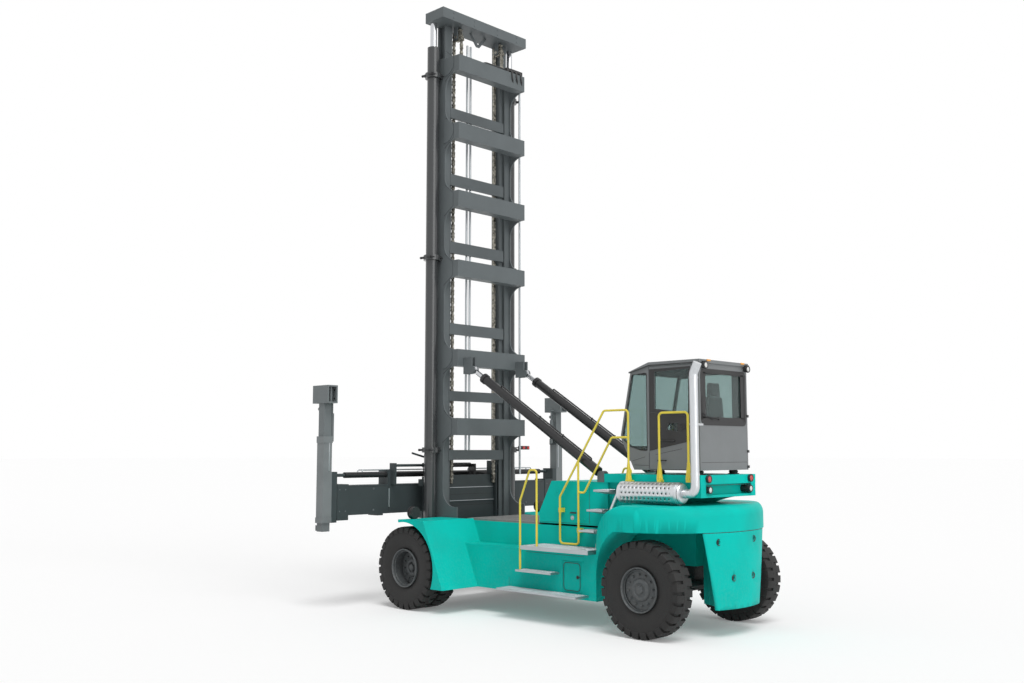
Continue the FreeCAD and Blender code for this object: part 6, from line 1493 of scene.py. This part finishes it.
# ---- spreader -----------------------------------------------------------------------------
class HANDLER_OT_spreader_trim(bpy.types.Operator):
    """Add the seams, pipes, bolts and edges of the spreader and the ledges of the carriage"""
    bl_idname = "handler.spreader_trim"
    bl_label = "Spreader fittings"

    def execute(self, context):
        bm = bmesh.new()
        for line in (((1.57, 1.58), (1.57, 2.02)), ((-1.57, 1.58), (-1.57, 2.02)),
                     ((-2.4, 2.02), (2.4, 2.02))):
            seam(bm, line, 0.006, at=SPREADER_REAR, axis="X")
        from_bmesh("spreader_seams", bm, "spreader", "frame_black", 0)
        bm = bmesh.new()
        for x in (2.99, 3.12):
            for end in (1, -1):
                route = [(x, end * y, z) for y, z in ((0.5, 2.26), (0.5, 2.3), (2.1, 2.3), (2.1, 2.26))]
                add_tube(bm, rounded_route(route, 0.03), 0.011, 10)
        from_bmesh("spreader_pipes", bm, "spreader", "step_alloy", 40)
        bm = bmesh.new()
        for y in (-2.62, -2.5, -1.9, -0.55, 0.55, 1.9, 2.5, 2.62):
            for z in (1.62, 1.98):
                add_bolt(bm, (SPREADER_REAR, y, z), (-1, 0, 0), 0.013, 0.009)
        from_bmesh("spreader_bolts", bm, "spreader", "mast_grey", 30)
        bm = bmesh.new()
        for z, out in ((1.735, 0.03), (1.97, 0.012)):
            add_box(bm, (CARRIAGE_REAR - out, -0.56, z), (CARRIAGE_REAR + 0.002, 0.56, z + 0.012), 0.002)
        from_bmesh("carriage_ledges", bm, "carriage", "step_alloy", 30)
        bm = bmesh.new()
        for z in (1.855, 1.66):
            seam(bm, [(-0.56, z), (0.56, z)], 0.006, at=CARRIAGE_REAR, axis="X")
        add_lathe(bm, [(-0.004, 0.05), (-0.004, 0)], (CARRIAGE_REAR, -0.12, 1.66), (-1, 0, 0), 32)
        from_bmesh("carriage_seams", bm, "carriage", "frame_black", 0)
        bm = bmesh.new()
        for y in (1.56, -1.56):
            add_box(bm, (SPREADER_REAR - 0.003, y - 0.012, 1.66), (SPREADER_REAR + 0.003, y + 0.012, 1.98))
        from_bmesh("spreader_edges", bm, "spreader", "step_alloy", 30)
        return {"FINISHED"}


class HANDLER_OT_leg_trim(bpy.types.Operator):
    """Add the bolts and the length scale of the spreader's legs"""
    bl_idname = "handler.leg_trim"
    bl_label = "Leg fittings"

    def execute(self, context):
        for name, out in (("left", 1), ("right", -1)):
            bm = bmesh.new()
            for z in (3.5, 3.64):
                for x in (2.86, 3.16):
                    add_bolt(bm, (x, out * 2.805, z), (0, -out, 0), 0.012, 0.008)
            from_bmesh(f"leg_bolts_{name}", bm, f"lock_{name}", "leg_grey", 30)
            bm = bmesh.new()
            add_box(bm, (2.913, out * 2.845 - 0.011, 2.3), (2.919, out * 2.845 + 0.011, 2.82), 0.002)
            from_bmesh(f"leg_scale_{name}", bm, f"arm_{name}", "step_alloy", 30)
        return {"FINISHED"}


# ---- stage --------------------------------------------------------------------------------
CAMERA_PLACE = (-11.6406, 13.3176, 2.612)
CAMERA_TURN = (95.972, 0.0, -135.4965)      # degrees
FLOOR_SIZE = 400.0


class HANDLER_OT_stage(bpy.types.Operator):
    """Set up the floor, the lights and the camera"""
    bl_idname = "handler.stage"
    bl_label = "Stage"

    def execute(self, context):
        s = context.scene.handler_stage
        add_floor(s.floor_glow)
        add_world(s.world)
        add_sun("key_light", (-0.45, 0.35, 1.0), s.key, 30)
        add_sun("rear_light", (-1.0, 0.1, 0.35), s.rear, 40)
        eye = bpy.data.cameras.new("camera")
        eye.sensor_width = 36.0
        eye.lens = s.lens
        camera = shown("camera", eye)
        camera.location = CAMERA_PLACE
        camera.rotation_euler = [math.radians(angle) for angle in CAMERA_TURN]
        context.scene.camera = camera
        context.scene.view_settings.view_transform = "Standard"
        return {"FINISHED"}


def add_sun(name, toward, strength, softness):
    """Wide soft light that comes from one direction."""
    lamp = bpy.data.lights.new(name, "SUN")
    lamp.energy = strength
    lamp.angle = math.radians(softness)
    shown(name, lamp).rotation_euler = Vector(toward).to_track_quat("Z", "Y").to_euler()


def white_share(tree):
    """1 for rays from the camera, a mirror or through glass."""
    rays = add_node(tree, "ShaderNodeLightPath").outputs
    total = rays["Is Camera Ray"]
    for name in ("Is Glossy Ray", "Is Transmission Ray"):
        total = add_node(tree, "ShaderNodeMath", {0: total, 1: rays[name]}, operation="MAXIMUM").outputs[0]
    return total


def add_world(strength):
    """Sky that lights evenly and is seen as white."""
    world = bpy.data.worlds.new("studio")
    bpy.context.scene.world = world
    world.use_nodes = True
    tree = world.node_tree
    back = tree.nodes["Background"].inputs
    level = add_node(tree, "ShaderNodeMix", {0: white_share(tree), 2: strength, 3: 1.0}).outputs[0]
    wire(tree, (1, 1, 1, 1), back["Color"])
    wire(tree, level, back["Strength"])


def add_floor(glow):
    """White floor that keeps the machine's shadow."""
    bm = bmesh.new()
    bmesh.ops.create_grid(bm, x_segments=1, y_segments=1, size=FLOOR_SIZE)
    floor = shown("floor", mesh_of("floor", bm))
    material = bpy.data.materials.new("studio_floor")
    material.use_nodes = True
    tree = material.node_tree
    shader = tree.nodes["Principled BSDF"].inputs
    lift = add_node(tree, "ShaderNodeMath", {0: white_share(tree), 1: glow}, operation="MULTIPLY").outputs[0]
    for name, value in (("Base Color", (0.9, 0.9, 0.9, 1)), ("Roughness", 0.9), ("Specular IOR Level", 0.0),
                        ("Emission Color", (1, 1, 1, 1)), ("Emission Strength", lift)):
        wire(tree, value, shader[name])
    floor.data.materials.append(material)


class HANDLER_PT_panel(bpy.types.Panel):
    """Sizes, colours and pieces of the handler"""
    bl_idname = "HANDLER_PT_panel"
    bl_label = "Container handler"
    bl_space_type = "VIEW_3D"
    bl_region_type = "UI"
    bl_category = "Handler"

    def draw(self, context):
        for name in GROUPS:
            group = getattr(context.scene, name)
            box = self.layout.box()
            for setting in group.__annotations__:
                box.prop(group, setting)
        for piece in PIECES:
            self.layout.operator(piece.bl_idname)


GROUPS = {"handler_paint": HandlerPaint, "handler_tyres": HandlerTyres, "handler_chain": HandlerChain,
          "handler_exhaust": HandlerExhaust, "handler_rails": HandlerRails, "handler_stage": HandlerStage}
PIECES = (HANDLER_OT_stage, HANDLER_OT_finishes, HANDLER_OT_tyres, HANDLER_OT_wheel_nuts, HANDLER_OT_chains,
          HANDLER_OT_exhaust, HANDLER_OT_cab_trim, HANDLER_OT_door, HANDLER_OT_seat, HANDLER_OT_controls,
          HANDLER_OT_steps, HANDLER_OT_tail, HANDLER_OT_hood_trim, HANDLER_OT_hatch_trim,
          HANDLER_OT_lamps, HANDLER_OT_rail_feet, HANDLER_OT_mast_trim, HANDLER_OT_head_trim,
          HANDLER_OT_tilt_trim, HANDLER_OT_spreader_trim, HANDLER_OT_leg_trim)


def register():
    for kind in (*GROUPS.values(), *PIECES, HANDLER_PT_panel):
        bpy.utils.register_class(kind)
    for name, kind in GROUPS.items():
        setattr(bpy.types.Scene, name, bpy.props.PointerProperty(type=kind))


def unregister():
    for name in GROUPS:
        delattr(bpy.types.Scene, name)
    for kind in (HANDLER_PT_panel, *reversed(PIECES), *GROUPS.values()):
        bpy.utils.unregister_class(kind)


def main():
    register()
    for piece in PIECES:
        group, name = piece.bl_idname.split(".")
        getattr(getattr(bpy.ops, group), name)()


if __name__ == "__main__":
    main()
